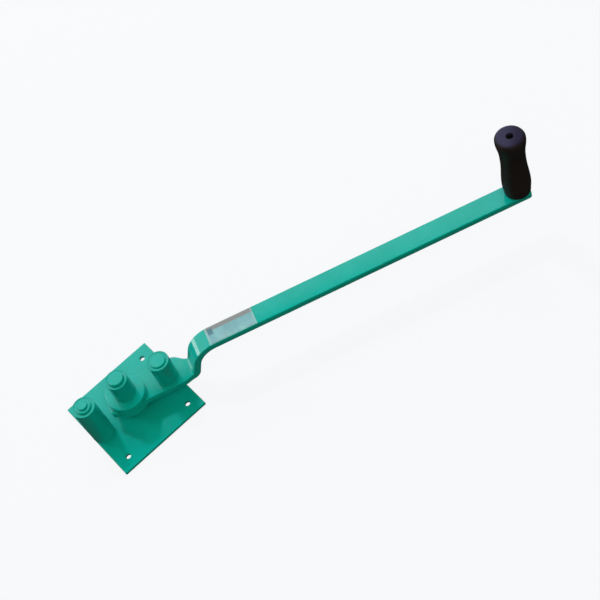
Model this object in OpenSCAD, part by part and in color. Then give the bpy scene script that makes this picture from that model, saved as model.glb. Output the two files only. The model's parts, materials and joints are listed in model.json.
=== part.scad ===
// Rebar stirrup bender: a square base plate with a fixed pivot and a stop post, and a joggled lever
// that swings round the pivot, carries a bending roller and ends in an upright revolving grip.
// Origin at the centre of the plate's underside, +Z up. Millimetres.

/* [Base plate] */
// Side of the square plate
plate_size = 142; // [130:1:200]
// Thickness of the plate
plate_thickness = 5; // [4:0.5:12]
// Radius of the plate's corners
plate_corner_radius = 1; // [0.5:0.5:8]
// Diameter of the four fixing holes
fixing_hole_diameter = 8.5; // [6:0.5:13]
// Distance from the plate's edges to the middle of each fixing hole
fixing_hole_inset = 18; // [10:0.5:22]

/* [Pins and sleeves] */
// Diameter of the round bar that all three pins are cut from
pin_diameter = 22; // [16:0.5:24]
// Chamfer at the free end of a pin
pin_chamfer = 0.75; // [0.5:0.25:3]
// Length of the pivot pin that stands above its sleeve
pivot_pin_stand = 4; // [2:0.2:8]
// Length of the bend pin that stands above its roller
bend_pin_stand = 2; // [1:0.2:8]
// Length of the forming sleeve on the pivot pin
former_length = 36.2; // [30:0.2:70]
// Length of the roller on the bend pin
bend_roller_length = 40.6; // [30:0.2:70]
// Chamfer at both ends of every sleeve
sleeve_chamfer = 0.5; // [0.25:0.25:1]
// Depth of the wider bore at the upper end of every sleeve
sleeve_recess_depth = 1.2; // [0.6:0.2:8]
// Outer diameter of the forming sleeve on the pivot pin
former_diameter = 31; // [26:0.5:34]
// Outer diameter of the roller on the bend pin
bend_roller_diameter = 31; // [26:0.5:34]

/* [Stop post] */
// Distance from the plate's edge to the middle of the stop post
stop_inset = 15.5; // [13:0.5:18]
// Outer diameter of the stop roller
stop_roller_diameter = 32; // [28:0.5:33]
// Length of the stop roller
stop_roller_length = 74.7; // [60:0.1:90]
// Length of the stop pin's full width that stands above the roller
stop_pin_stand = 3; // [1:0.2:8]
// Diameter of the turned tip of the stop pin
stop_tip_diameter = 14; // [8:0.5:16]
// Height of the turned tip of the stop pin
stop_tip_height = 3; // [2:0.2:8]

/* [Pivot boss] */
// Outer diameter of the boss that carries the lever
boss_diameter = 34; // [32:1:50]
// Height of the boss
boss_height = 18.2; // [8:0.2:26]
// Thickness of the thrust washer on the boss
thrust_washer_thickness = 1.5; // [1:0.25:3]

/* [Welds] */
// Leg of the fillet bead round the boss
boss_bead_leg = 2; // [2:0.5:6]
// Leg of the fillet bead round the foot of the stop post
stop_bead_leg = 4; // [3:0.5:8]
// Leg of the fillet bead round the foot of the bend pin
bend_bead_leg = 4; // [2:0.5:6]
// Width and depth of the flush beads on undersides
flush_bead_leg = 2; // [1:0.25:3]

/* [Lever] */
// Direction of the lever at rest, measured from +X
lever_angle = -19.5; // [-60:0.5:60]
// Width of the flat bar
bar_width = 30; // [26:0.5:40]
// Thickness of the flat bar
bar_thickness = 10; // [8:0.5:16]
// Distance from the pivot to the end of the lever
lever_length = 605; // [400:1:900]
// Radius of the corners at the end of the lever
bar_end_radius = 4.5; // [2:0.5:10]
// How far the head reaches behind the pivot
head_rear = 29.5; // [28:0.5:32]
// How far the head reaches to its wide side, measured from the pivot
head_wide_side = 28; // [27:0.5:32]
// How far the head reaches to its narrow side, measured from the pivot
head_narrow_side = 18.5; // [17:0.5:26]
// Radius of the head's rear corners
head_corner_radius = 8; // [4:0.5:12]
// Distance from the pivot to where the wide side starts to taper
wide_taper_start = 76; // [66:0.5:80]
// Distance from the pivot to where the narrow side starts to taper
narrow_taper_start = 79; // [70:0.5:84]
// Radius of the rounding where each taper starts
head_taper_radius = 8; // [2:0.5:10]
// Distance from the pivot to the start of the lower bend
bend_start = 91; // [88:0.5:120]
// Height from the head's top face to the arm's top face
joggle_rise = 45; // [36:0.1:80]
// Slope of the riser between the two bends
joggle_slope = 71; // [45:1:80]
// Inside radius of the lower bend
lower_bend_radius = 4; // [3:0.5:12]
// Inside radius of the upper bend
upper_bend_radius = 30; // [3:0.5:36]
// Distance from the pivot to the bend pin
bend_pin_distance = 60; // [56:0.5:66]

/* [Hub] */
// Diameter of the hub's flange
hub_diameter = 55; // [46:0.5:56]
// Height of the flange above the head
hub_flange_height = 11; // [4:0.2:14]
// Diameter of the hub's spigot through the head
hub_spigot_diameter = 36; // [34:0.5:40]
// Wall of the bush pressed into the hub
bush_wall = 3; // [2:0.25:4]

/* [Grip] */
// Distance from the lever's end to the grip's axis
grip_inset = 14.5; // [11:0.5:25]
// Overall length of the grip
grip_length = 114; // [80:0.1:150]
// Radius of the foot of the grip
grip_foot_radius = 18; // [14:0.25:20]
// Radius of the swell in the lower part of the grip
grip_swell_radius = 19.5; // [16:0.25:24]
// Radius of the waist below the head of the grip
grip_waist_radius = 17; // [14:0.25:20]
// Radius of the flared head of the grip
grip_head_radius = 20.25; // [16:0.25:26]
// Radius of the rounding at the grip's head
grip_round = 6.25; // [1:0.25:8]
// Diameter of the recess in the top of the grip
grip_recess_diameter = 9.6; // [9.6:0.2:16]
// Depth of the recess in the top of the grip
grip_recess_depth = 11; // [9:0.5:20]
// Diameter of the spindle that the grip turns on
spindle_diameter = 8; // [7:0.5:9]
// Diameter of the collar at the foot of the spindle
spindle_collar_diameter = 18; // [14:0.5:22]
// Height of the collar at the foot of the spindle
spindle_collar_height = 3; // [2:0.5:6]

/* [Fasteners] */
// Thickness of the spindle washer under the lever
spindle_washer_thickness = 2; // [1:0.25:3]
// Diameter of the spindle washer under the lever
spindle_washer_diameter = 18; // [16:0.5:24]
// Width across the flats of the spindle nut
spindle_nut_flats = 13; // [12:0.5:17]
// Height of the spindle nut
spindle_nut_height = 6.5; // [5:0.5:12]
// Length of spindle thread that shows below the nut
spindle_thread_stand = 3; // [1:0.5:8]
// Thickness of the retaining washer in the grip's recess
retainer_washer_thickness = 1; // [0.5:0.25:2]
// Diameter of the retaining screw
retainer_screw_diameter = 4; // [3:0.5:5]
// Diameter of the retaining screw's head
retainer_head_diameter = 7; // [6:0.5:9]
// Height of the retaining screw's head
retainer_head_height = 2.8; // [2:0.2:5]
// Length of the retaining screw in the spindle
retainer_screw_length = 16; // [8:1:30]

/* [Label] */
// Length of the label
label_length = 69; // [30:1:120]
// Width of the label
label_width = 28; // [15:0.5:29]
// Thickness of the label
label_thickness = 0.4; // [0.2:0.1:1]

/* [Clearances] */
// Radial clearance of a pin in its sleeve, bush or bore that turns
running_clearance = 0.05; // [0.02:0.01:0.1]
// Radial clearance of a fixed pin or spigot in its hole
seat_clearance = 0.05; // [0.02:0.01:0.2]
// Gap between faces that slide past each other
end_gap = 0.3; // [0.2:0.05:0.8]

/* [Hidden] */
$fn = 96;

paint = [0.10, 0.60, 0.54];
zinc = [0.72, 0.74, 0.76];
bronze = [0.70, 0.52, 0.26];
black = [0.07, 0.06, 0.06];
foil = [0.62, 0.72, 0.73];

// Cutters run this far past the faces that they open
overcut = 1;
// Straight steps in the head's rounded corners, in the bends, in the label's lap over the upper bend
// and in each stretch of the grip's profile
corner_steps = 8;
bend_steps = 18;
label_lap_steps = 2;
grip_steps = 10;

pin_radius = pin_diameter / 2;
sleeve_bore_radius = pin_radius + running_clearance;
pin_seat_radius = pin_radius + seat_clearance;
stop_distance = plate_size / 2 - stop_inset;
grip_distance = lever_length - grip_inset;

plate_top = plate_thickness;
boss_top = plate_top + boss_height;
washer_top = boss_top + thrust_washer_thickness;
head_bottom = washer_top + end_gap;
head_top = head_bottom + bar_thickness;
hub_top = head_top + hub_flange_height;
former_bottom = hub_top + end_gap;
former_top = former_bottom + former_length;
bend_roller_bottom = head_top + bend_bead_leg + end_gap;
bend_roller_top = bend_roller_bottom + bend_roller_length;
stop_roller_bottom = plate_top + stop_bead_leg + end_gap;
stop_roller_top = stop_roller_bottom + stop_roller_length;
arm_top = head_top + joggle_rise;
arm_bottom = arm_top - bar_thickness;

// The joggle: two bends with a straight riser between them, measured along the middle of the bar
bend_radii_sum = lower_bend_radius + upper_bend_radius + bar_thickness;
riser_length = (joggle_rise - bend_radii_sum * (1 - cos(joggle_slope))) / sin(joggle_slope);
arm_start = bend_start + bend_radii_sum * sin(joggle_slope) + riser_length * cos(joggle_slope);
arm_end = lever_length - bar_end_radius;

hub_spigot_radius = hub_spigot_diameter / 2;
hub_hole_radius = hub_spigot_radius + seat_clearance;
bush_outer_radius = sleeve_bore_radius + bush_wall;
spindle_radius = spindle_diameter / 2;

// The grip stands just clear of the arm, over the spindle's collar
grip_bottom = arm_top + end_gap;
grip_top = grip_bottom + grip_length;
grip_recess_floor = grip_top - grip_recess_depth;
spindle_top = grip_recess_floor + end_gap;
retainer_washer_radius = grip_recess_diameter / 2 - end_gap;
retainer_washer_top = spindle_top + retainer_washer_thickness;
spindle_washer_bottom = arm_bottom - spindle_washer_thickness;
spindle_nut_bottom = spindle_washer_bottom - spindle_nut_height;
spindle_bottom = spindle_nut_bottom - spindle_thread_stand;

// How far into a sleeve's wall its wider upper bore goes, as a share of the wall
sleeve_recess_share = 0.6;
// How far out a fillet bead's crowned face stands, as a share of its leg
bead_crown_share = 0.62;
// Chamfer of the retaining screw's head, as a share of its height
screw_chamfer_share = 0.25;

// Heights of the grip's swell, waist and flare as shares of its length: its styling
grip_swell_share = 0.17;
grip_waist_share = 0.57;
grip_flare_share = 0.93;
// Power that holds the flare back towards the head
grip_flare_lag = 1.8;

// Half-cosine step from a to b as share goes from 0 to 1
function ease(a, b, share) = a + (b - a) * (1 - cos(180 * share)) / 2;

// Points from radius r0 at height z0 to radius r1 at height z1 along a half-cosine step, which a lag
// above 1 moves towards z1
function eased_run(r0, z0, r1, z1, lag = 1) = [
    for (i = [0:grip_steps - 1])
        let (share = i / grip_steps) [ease(r0, r1, pow(share, lag)), z0 + (z1 - z0) * share]
];

// Points of the arc that rounds the corner b between its neighbours a and c
function rounded_corner(a, b, c, radius) =
    let (to_a = (a - b) / norm(a - b),
         to_c = (c - b) / norm(c - b),
         half = acos(to_a * to_c) / 2,
         middle = b + (to_a + to_c) / norm(to_a + to_c) * radius / sin(half),
         first = b + to_a * radius / tan(half) - middle,
         turn = sign(to_a[0] * to_c[1] - to_a[1] * to_c[0]) * (2 * half - 180))
    [for (i = [0:corner_steps])
        let (angle = turn * i / corner_steps)
        middle + [first[0] * cos(angle) - first[1] * sin(angle),
                  first[0] * sin(angle) + first[1] * cos(angle)]];

// Head outline seen from above, pivot at the origin and the arm towards +X
head_corners = [
    [bend_start, -bar_width / 2],
    [narrow_taper_start, -head_narrow_side],
    [-head_rear, -head_narrow_side],
    [-head_rear, head_wide_side],
    [wide_taper_start, head_wide_side],
    [bend_start, bar_width / 2]
];
head_radii = [
    0, head_taper_radius, head_corner_radius, head_corner_radius, head_taper_radius, 0
];
last_corner = len(head_corners) - 1;
head_outline = concat(
    [head_corners[0]],
    [for (i = [1:last_corner - 1])
        each rounded_corner(head_corners[i - 1], head_corners[i], head_corners[i + 1], head_radii[i])],
    [head_corners[last_corner]]
);

// Points of an arc round a middle, from one angle to another
function arc(middle, radius, from, to, steps = bend_steps) = [
    for (i = [0:steps])
        let (angle = from + (to - from) * i / steps) middle + radius * [cos(angle), sin(angle)]
];

// Side view of the bar from the end of the head to the arm's end: along its underside, and back on top
lower_middle = [bend_start, head_top + lower_bend_radius];
upper_middle = [arm_start, arm_bottom - upper_bend_radius];
upper_outer_radius = upper_bend_radius + bar_thickness;
joggle_outline = concat(
    arc(lower_middle, lower_bend_radius + bar_thickness, -90, joggle_slope - 90),
    arc(upper_middle, upper_bend_radius, joggle_slope + 90, 90),
    [[arm_end, arm_bottom], [arm_end, arm_top]],
    arc(upper_middle, upper_outer_radius, 90, joggle_slope + 90),
    arc(lower_middle, lower_bend_radius, joggle_slope - 90, -90)
);

// Side view of the label, which starts on the last steps of the upper bend and ends on the flat arm
label_lap_angle = joggle_slope * label_lap_steps / bend_steps;
label_end = arm_start - upper_outer_radius * sin(label_lap_angle) + label_length;
label_outline = concat(
    arc(upper_middle, upper_outer_radius, 90 + label_lap_angle, 90, label_lap_steps),
    [[label_end, arm_top], [label_end, arm_top + label_thickness]],
    arc(upper_middle, upper_outer_radius + label_thickness, 90, 90 + label_lap_angle, label_lap_steps)
);

// Half of the grip's section, from the foot of its outside to the top of its bore
grip_profile = concat(
    eased_run(grip_foot_radius, grip_bottom,
              grip_swell_radius, grip_bottom + grip_swell_share * grip_length),
    eased_run(grip_swell_radius, grip_bottom + grip_swell_share * grip_length,
              grip_waist_radius, grip_bottom + grip_waist_share * grip_length),
    eased_run(grip_waist_radius, grip_bottom + grip_waist_share * grip_length,
              grip_head_radius, grip_bottom + grip_flare_share * grip_length, grip_flare_lag),
    [for (i = [0:grip_steps])
        let (angle = 90 * i / grip_steps)
        [grip_head_radius - grip_round + grip_round * cos(angle),
         grip_top - grip_round + grip_round * sin(angle)]],
    [[0, grip_top], [0, grip_bottom]]
);

// Places what it holds on the lever at rest
module on_lever() {
    rotate([0, 0, lever_angle]) children();
}

// Round bar from z0 to z1 with a chamfer at its upper end
module pin(radius, z0, z1, chamfer) {
    rotate_extrude()
        polygon([[0, z0], [radius, z0], [radius, z1 - chamfer], [radius - chamfer, z1], [0, z1]]);
}

// Sleeve with its outer edges chamfered and its bore wider at the upper end
module sleeve(outer_radius, z0, length) {
    z1 = z0 + length;
    recess_floor = z1 - sleeve_recess_depth;
    recess_radius = sleeve_bore_radius + sleeve_recess_share * (outer_radius - sleeve_bore_radius);
    rotate_extrude()
        polygon([
            [sleeve_bore_radius, z0], [outer_radius - sleeve_chamfer, z0],
            [outer_radius, z0 + sleeve_chamfer], [outer_radius, z1 - sleeve_chamfer],
            [outer_radius - sleeve_chamfer, z1], [recess_radius, z1],
            [recess_radius, recess_floor], [sleeve_bore_radius, recess_floor]
        ]);
}

// Fillet bead round a pin or boss, with a slightly crowned face
module fillet_bead(radius, z0, leg) {
    crown = leg * bead_crown_share;
    rotate_extrude()
        polygon([[radius, z0], [radius + leg, z0], [radius + crown, z0 + crown], [radius, z0 + leg]]);
}

// Bead that fills the countersink at the lower end of a hole, flush with the face
module flush_bead(radius, z0) {
    rotate_extrude()
        polygon([[radius, z0], [radius + flush_bead_leg, z0], [radius, z0 + flush_bead_leg]]);
}

// Hole of a given radius from z0 to z1, countersunk at z0 for a flush bead
module bead_hole(radius, z0, z1) {
    translate([0, 0, z0 - overcut]) cylinder(r = radius, h = z1 - z0 + 2 * overcut);
    flush_bead(radius, z0);
}

module base_plate() {
    reach = plate_size / 2 - plate_corner_radius;
    hole = plate_size / 2 - fixing_hole_inset;
    color(paint) difference() {
        union() {
            translate([-plate_size / 2, -reach, 0]) cube([plate_size, 2 * reach, plate_thickness]);
            translate([-reach, -plate_size / 2, 0]) cube([2 * reach, plate_size, plate_thickness]);
            for (x = [-reach, reach], y = [-reach, reach])
                translate([x, y, 0]) cylinder(r = plate_corner_radius, h = plate_thickness);
        }
        for (x = [-hole, hole], y = [-hole, hole])
            translate([x, y, -overcut])
                cylinder(d = fixing_hole_diameter, h = plate_thickness + 2 * overcut);
        for (x = [-stop_distance, 0])
            translate([x, 0, 0]) bead_hole(pin_seat_radius, 0, plate_thickness);
    }
}

module underside_welds() {
    color(paint) for (x = [-stop_distance, 0]) translate([x, 0, 0]) flush_bead(pin_radius, 0);
}

module pivot_boss() {
    color(paint) translate([0, 0, plate_top]) difference() {
        cylinder(d = boss_diameter, h = boss_height);
        translate([0, 0, -overcut]) cylinder(r = pin_seat_radius, h = boss_height + 2 * overcut);
    }
}

module boss_weld() {
    color(paint) fillet_bead(boss_diameter / 2, plate_top, boss_bead_leg);
}

module pivot_pin() {
    color(paint) pin(pin_radius, 0, former_top + pivot_pin_stand, pin_chamfer);
}

module thrust_washer() {
    color(zinc) translate([0, 0, boss_top]) difference() {
        cylinder(d = boss_diameter, h = thrust_washer_thickness);
        translate([0, 0, -overcut])
            cylinder(r = pin_seat_radius, h = thrust_washer_thickness + 2 * overcut);
    }
}

module former_sleeve() {
    color(paint) sleeve(former_diameter / 2, former_bottom, former_length);
}

module stop_pin() {
    shoulder = stop_roller_top + stop_pin_stand;
    color(paint) translate([-stop_distance, 0, 0]) {
        pin(pin_radius, 0, shoulder, pin_chamfer);
        pin(stop_tip_diameter / 2, shoulder, shoulder + stop_tip_height, pin_chamfer);
    }
}

module stop_weld() {
    color(paint) translate([-stop_distance, 0, 0]) fillet_bead(pin_radius, plate_top, stop_bead_leg);
}

module stop_roller() {
    color(paint) translate([-stop_distance, 0, 0])
        sleeve(stop_roller_diameter / 2, stop_roller_bottom, stop_roller_length);
}

module lever_bar() {
    half_end = bar_width / 2 - bar_end_radius;
    color(paint) on_lever() difference() {
        union() {
            translate([0, 0, head_bottom]) linear_extrude(bar_thickness) polygon(head_outline);
            translate([0, 0, head_bottom]) cylinder(d = hub_diameter, h = bar_thickness);
            translate([0, bar_width / 2, 0]) rotate([90, 0, 0])
                linear_extrude(bar_width) polygon(joggle_outline);
            translate([arm_end, -half_end, arm_bottom])
                cube([bar_end_radius, 2 * half_end, bar_thickness]);
            for (y = [-half_end, half_end])
                translate([arm_end, y, arm_bottom]) cylinder(r = bar_end_radius, h = bar_thickness);
        }
        bead_hole(hub_hole_radius, head_bottom, head_top);
        translate([bend_pin_distance, 0, 0]) bead_hole(pin_seat_radius, head_bottom, head_top);
        translate([grip_distance, 0, arm_bottom - overcut])
            cylinder(r = spindle_radius + seat_clearance, h = bar_thickness + 2 * overcut);
    }
}

module lever_hub() {
    color(paint) difference() {
        union() {
            translate([0, 0, head_bottom]) cylinder(r = hub_spigot_radius, h = bar_thickness);
            translate([0, 0, head_top]) cylinder(d = hub_diameter, h = hub_flange_height);
        }
        translate([0, 0, head_bottom - overcut])
            cylinder(r = bush_outer_radius + seat_clearance, h = hub_top - head_bottom + 2 * overcut);
    }
}

module hub_weld() {
    color(paint) flush_bead(hub_spigot_radius, head_bottom);
}

module hub_bush() {
    color(bronze) translate([0, 0, head_bottom]) difference() {
        cylinder(r = bush_outer_radius, h = hub_top - head_bottom);
        translate([0, 0, -overcut])
            cylinder(r = sleeve_bore_radius, h = hub_top - head_bottom + 2 * overcut);
    }
}

module bend_pin() {
    color(paint) on_lever() translate([bend_pin_distance, 0, 0])
        pin(pin_radius, head_bottom, bend_roller_top + bend_pin_stand, pin_chamfer);
}

module bend_pin_weld() {
    color(paint) on_lever() translate([bend_pin_distance, 0, 0]) {
        flush_bead(pin_radius, head_bottom);
        fillet_bead(pin_radius, head_top, bend_bead_leg);
    }
}

module bend_roller() {
    color(paint) on_lever() translate([bend_pin_distance, 0, 0])
        sleeve(bend_roller_diameter / 2, bend_roller_bottom, bend_roller_length);
}

module label_plate() {
    color(foil) on_lever() translate([0, label_width / 2, 0]) rotate([90, 0, 0])
        linear_extrude(label_width) polygon(label_outline);
}

module grip_spindle() {
    color(zinc) on_lever() translate([grip_distance, 0, 0]) difference() {
        union() {
            translate([0, 0, spindle_bottom]) cylinder(r = spindle_radius, h = spindle_top - spindle_bottom);
            translate([0, 0, arm_top]) cylinder(d = spindle_collar_diameter, h = spindle_collar_height);
        }
        translate([0, 0, spindle_top - retainer_screw_length - overcut])
            cylinder(d = retainer_screw_diameter + 2 * seat_clearance,
                     h = retainer_screw_length + 2 * overcut);
    }
}

module spindle_washer() {
    color(zinc) on_lever() translate([grip_distance, 0, spindle_washer_bottom]) difference() {
        cylinder(d = spindle_washer_diameter, h = spindle_washer_thickness);
        translate([0, 0, -overcut])
            cylinder(r = spindle_radius + seat_clearance, h = spindle_washer_thickness + 2 * overcut);
    }
}

module spindle_nut() {
    corner_diameter = spindle_nut_flats / cos(30);
    color(zinc) on_lever() translate([grip_distance, 0, spindle_nut_bottom]) difference() {
        cylinder(d = corner_diameter, h = spindle_nut_height, $fn = 6);
        translate([0, 0, -overcut])
            cylinder(r = spindle_radius + seat_clearance, h = spindle_nut_height + 2 * overcut);
    }
}

module grip() {
    collar_room = spindle_collar_height + end_gap;
    color(black) on_lever() translate([grip_distance, 0, 0]) difference() {
        rotate_extrude() polygon(grip_profile);
        translate([0, 0, grip_bottom - overcut])
            cylinder(r = spindle_radius + running_clearance, h = grip_length + 2 * overcut);
        translate([0, 0, grip_bottom - overcut])
            cylinder(d = spindle_collar_diameter + 2 * end_gap, h = collar_room + overcut);
        translate([0, 0, grip_recess_floor])
            cylinder(d = grip_recess_diameter, h = grip_recess_depth + overcut);
    }
}

module retainer_washer() {
    color(zinc) on_lever() translate([grip_distance, 0, spindle_top]) difference() {
        cylinder(r = retainer_washer_radius, h = retainer_washer_thickness);
        translate([0, 0, -overcut])
            cylinder(d = retainer_screw_diameter + 2 * seat_clearance,
                     h = retainer_washer_thickness + 2 * overcut);
    }
}

module retainer_screw() {
    head_chamfer = retainer_head_height * screw_chamfer_share;
    color(zinc) on_lever() translate([grip_distance, 0, retainer_washer_top]) {
        pin(retainer_head_diameter / 2, 0, retainer_head_height, head_chamfer);
        translate([0, 0, -retainer_washer_thickness - retainer_screw_length])
            cylinder(d = retainer_screw_diameter,
                     h = retainer_washer_thickness + retainer_screw_length);
    }
}

base_plate();
underside_welds();
pivot_boss();
boss_weld();
pivot_pin();
thrust_washer();
former_sleeve();
stop_pin();
stop_weld();
stop_roller();
lever_bar();
lever_hub();
hub_weld();
hub_bush();
bend_pin();
bend_pin_weld();
bend_roller();
label_plate();
grip_spindle();
spindle_washer();
spindle_nut();
grip();
retainer_washer();
retainer_screw();
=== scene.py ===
"""Looks of a bench-mounted rebar stirrup bender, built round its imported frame.

A square painted plate carries a pivot and a stop post. A joggled flat-bar lever swings round the
pivot on a hub, carries a bending roller and ends in an upright black grip. Lengths are metres in the
frame's own axes: +Z up, the pivot on the Z axis and the plate's underside at Z = 0.
"""

from __future__ import annotations

import json
import logging
import math
from dataclasses import dataclass, field
from enum import Enum
from typing import Callable, Sequence

import bmesh
import bpy
import numpy as np
from mathutils import Matrix, Vector
from mathutils.geometry import delaunay_2d_cdt

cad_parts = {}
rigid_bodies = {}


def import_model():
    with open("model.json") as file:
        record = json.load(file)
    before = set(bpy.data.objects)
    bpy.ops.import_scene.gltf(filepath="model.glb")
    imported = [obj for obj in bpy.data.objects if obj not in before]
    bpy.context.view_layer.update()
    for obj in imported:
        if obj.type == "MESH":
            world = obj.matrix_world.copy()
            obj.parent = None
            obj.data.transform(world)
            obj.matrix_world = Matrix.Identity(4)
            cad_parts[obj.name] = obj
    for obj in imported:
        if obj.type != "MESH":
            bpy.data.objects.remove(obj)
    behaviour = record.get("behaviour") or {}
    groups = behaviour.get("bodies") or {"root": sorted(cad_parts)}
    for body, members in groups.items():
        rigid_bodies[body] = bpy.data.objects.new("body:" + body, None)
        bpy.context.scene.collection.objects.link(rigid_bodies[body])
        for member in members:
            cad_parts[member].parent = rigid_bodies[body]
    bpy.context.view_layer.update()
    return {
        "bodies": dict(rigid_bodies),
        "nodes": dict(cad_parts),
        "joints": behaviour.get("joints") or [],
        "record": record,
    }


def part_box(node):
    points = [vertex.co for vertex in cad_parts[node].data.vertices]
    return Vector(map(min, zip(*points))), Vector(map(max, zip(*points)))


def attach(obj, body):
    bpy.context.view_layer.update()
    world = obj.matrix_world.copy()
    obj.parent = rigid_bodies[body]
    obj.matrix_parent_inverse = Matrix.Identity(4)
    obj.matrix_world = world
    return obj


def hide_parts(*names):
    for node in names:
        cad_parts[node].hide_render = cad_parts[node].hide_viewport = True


LOG = logging.getLogger("stirrup_bender")
MM = 0.001
FULL_TURN = 2 * math.pi
QUARTER_TURN = math.pi / 2
HEX_STEP = math.pi / 3
HEX_HALF = math.pi / 6

# How near two points of a mesh or an outline are one, and how sharp an edge stays a crease
MERGE_GAP = 1e-7
SLIVER_EDGE = 1e-8
OUTLINE_GAP = 1e-9
CREASE_ANGLE = math.radians(50)

# Rounding of an edge from the lathe, and the gap round a pin in its bore
TURNED_EDGE = 0.4 * MM
CLEARANCE = 0.05 * MM

# Tints of the lamps and of the sky
COOL_LIGHT = (0.95, 1.0, 1.16)
WARM_LIGHT = (1.0, 1.0, 0.82)

# Where the mix node keeps its share, its two colours and the blended colour
MIX_SHARE, MIX_FIRST, MIX_SECOND, MIX_RESULT = 0, 6, 7, 2

Triple = tuple[float, float, float]
Colour = Triple
Corner = Triple
Span = tuple[float, float]
Fold = Callable[[np.ndarray, np.ndarray], np.ndarray]
RadiusRule = Callable[[np.ndarray, np.ndarray, np.ndarray], np.ndarray]
Socket = bpy.types.NodeSocket
Term = tuple[object, object]
Outputs = bpy.types.bpy_prop_collection
Layers = tuple[Socket, Socket, Socket]

NO_RIBS = np.zeros((0, 2), int)


def srgb(red: int, green: int, blue: int) -> Colour:
    """Turns a display colour into the linear values that shaders take.

    The display's curve is a straight line for the darkest values and a power of 2.4 above them.

    Args:
        red: Red of 0 to 255.
        green: Green of 0 to 255.
        blue: Blue of 0 to 255.

    Returns:
        The linear colour.
    """
    share = np.array([red, green, blue]) / 255
    linear = np.where(share <= 0.04045, share / 12.92, ((share + 0.055) / 1.055) ** 2.4)
    return tuple(float(value) for value in linear)


def added(name: str, data: bpy.types.ID) -> bpy.types.Object:
    """Adds an object to the scene, at the origin.

    Args:
        name: The object's name.
        data: Its mesh, camera or light.

    Returns:
        The new object.
    """
    made = bpy.data.objects.new(name, data)
    bpy.context.scene.collection.objects.link(made)
    return made


def points_of(mesh: bpy.types.Mesh) -> np.ndarray:
    """Reads a mesh's points.

    Args:
        mesh: The mesh.

    Returns:
        One row for each point.
    """
    flat = np.zeros(len(mesh.vertices) * 3)
    mesh.vertices.foreach_get("co", flat)
    return flat.reshape(-1, 3)


# Surfaces worked out as whole arrays


@dataclass
class Surface:
    """Points of a shape and its faces, one index array for each number of corners."""

    points: np.ndarray
    faces: list[np.ndarray]

    def mesh(self, name: str) -> bpy.types.Mesh:
        """Makes a smooth mesh, with the points that meet at poles and seams merged.

        Args:
            name: Name of the new mesh.

        Returns:
            The mesh, with its faces pointing as the index arrays give them.
        """
        mesh = bpy.data.meshes.new(name)
        faces = [face for part in self.faces for face in part.tolist()]
        mesh.from_pydata(self.points.tolist(), [], faces)
        work = bmesh.new()
        work.from_mesh(mesh)
        bmesh.ops.remove_doubles(work, verts=work.verts, dist=MERGE_GAP)
        bmesh.ops.dissolve_degenerate(work, edges=work.edges, dist=SLIVER_EDGE)
        work.to_mesh(mesh)
        work.free()
        mesh.shade_smooth()
        mesh.set_sharp_from_angle(angle=CREASE_ANGLE)
        return mesh


def grid_faces(
    rows: int, columns: int, closed_rows: bool = False, closed_columns: bool = True
) -> np.ndarray:
    """Quads of a grid whose point (row, column) has the index row * columns + column.

    Args:
        rows: Number of rows of points.
        columns: Number of points in a row.
        closed_rows: Whether the last row joins the first.
        closed_columns: Whether the last column joins the first.

    Returns:
        One row of four indices for each quad.
    """
    row, column = np.meshgrid(
        np.arange(rows if closed_rows else rows - 1),
        np.arange(columns if closed_columns else columns - 1),
        indexing="ij",
    )
    here, above = row * columns, (row + 1) % rows * columns
    beside = (column + 1) % columns
    corners = [here + column, here + beside, above + beside, above + column]
    return np.stack(corners, axis=-1).reshape(-1, 4)


def unit(vector: np.ndarray) -> np.ndarray:
    """Vectors at length one."""
    return vector / np.linalg.norm(vector, axis=-1, keepdims=True)


def turned(points: np.ndarray, angle: float) -> np.ndarray:
    """Points turned about the Z axis."""
    return points @ np.array(Matrix.Rotation(angle, 3, "Z")).T


def around(
    centre: Span, radius: np.ndarray, angle: np.ndarray, height: np.ndarray
) -> np.ndarray:
    """Points round an upright axis: its place plus the radius times cosine and sine."""
    x, y = centre[0] + radius * np.cos(angle), centre[1] + radius * np.sin(angle)
    return np.stack(np.broadcast_arrays(x, y, height), axis=-1).reshape(-1, 3)


def ring(x: float, y: float, radius: float, count: int = 64) -> np.ndarray:
    """Points of a circle, running clockwise as the edge of a hole does."""
    angle = np.linspace(0, -FULL_TURN, count, endpoint=False)
    return np.stack([x + radius * np.cos(angle), y + radius * np.sin(angle)], axis=-1)


def hexagon(flats: float, angle: np.ndarray) -> np.ndarray:
    """Radius of a hexagon of a width across its flats, at each angle."""
    return flats / 2 / np.cos((angle + HEX_HALF) % HEX_STEP - HEX_HALF)


def rounded(corners: Sequence[Corner], closed: bool = False, steps: int = 6) -> np.ndarray:
    """Line through corners, each (u, v, radius), with an arc in place of every corner.

    The arc's points are the two radii at its ends, blended by the sines of the angles that are left
    and done.

    Args:
        corners: The corners in order.
        closed: Whether the last corner joins the first.
        steps: Straight steps in each arc.

    Returns:
        The line's points, one row each.
    """
    spots = np.array([corner[:2] for corner in corners])
    share = np.linspace(0, 1, steps + 1)[:, None]
    parts = []
    for index, (_, _, radius) in enumerate(corners):
        spot = spots[index]
        if radius == 0 or (not closed and index in (0, len(corners) - 1)):
            parts.append(spot[None])
            continue
        back = unit(spots[index - 1] - spot)
        onward = unit(spots[(index + 1) % len(corners)] - spot)
        half = math.acos(float(np.clip(back @ onward, -1, 1))) / 2
        middle = spot + unit(back + onward) * radius / math.sin(half)
        first = spot + back * radius / math.tan(half) - middle
        last = spot + onward * radius / math.tan(half) - middle
        sweep = math.pi - 2 * half
        blend = np.sin((1 - share) * sweep) * first + np.sin(share * sweep) * last
        parts.append(middle + blend / math.sin(sweep))
    return np.vstack(parts)


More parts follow.
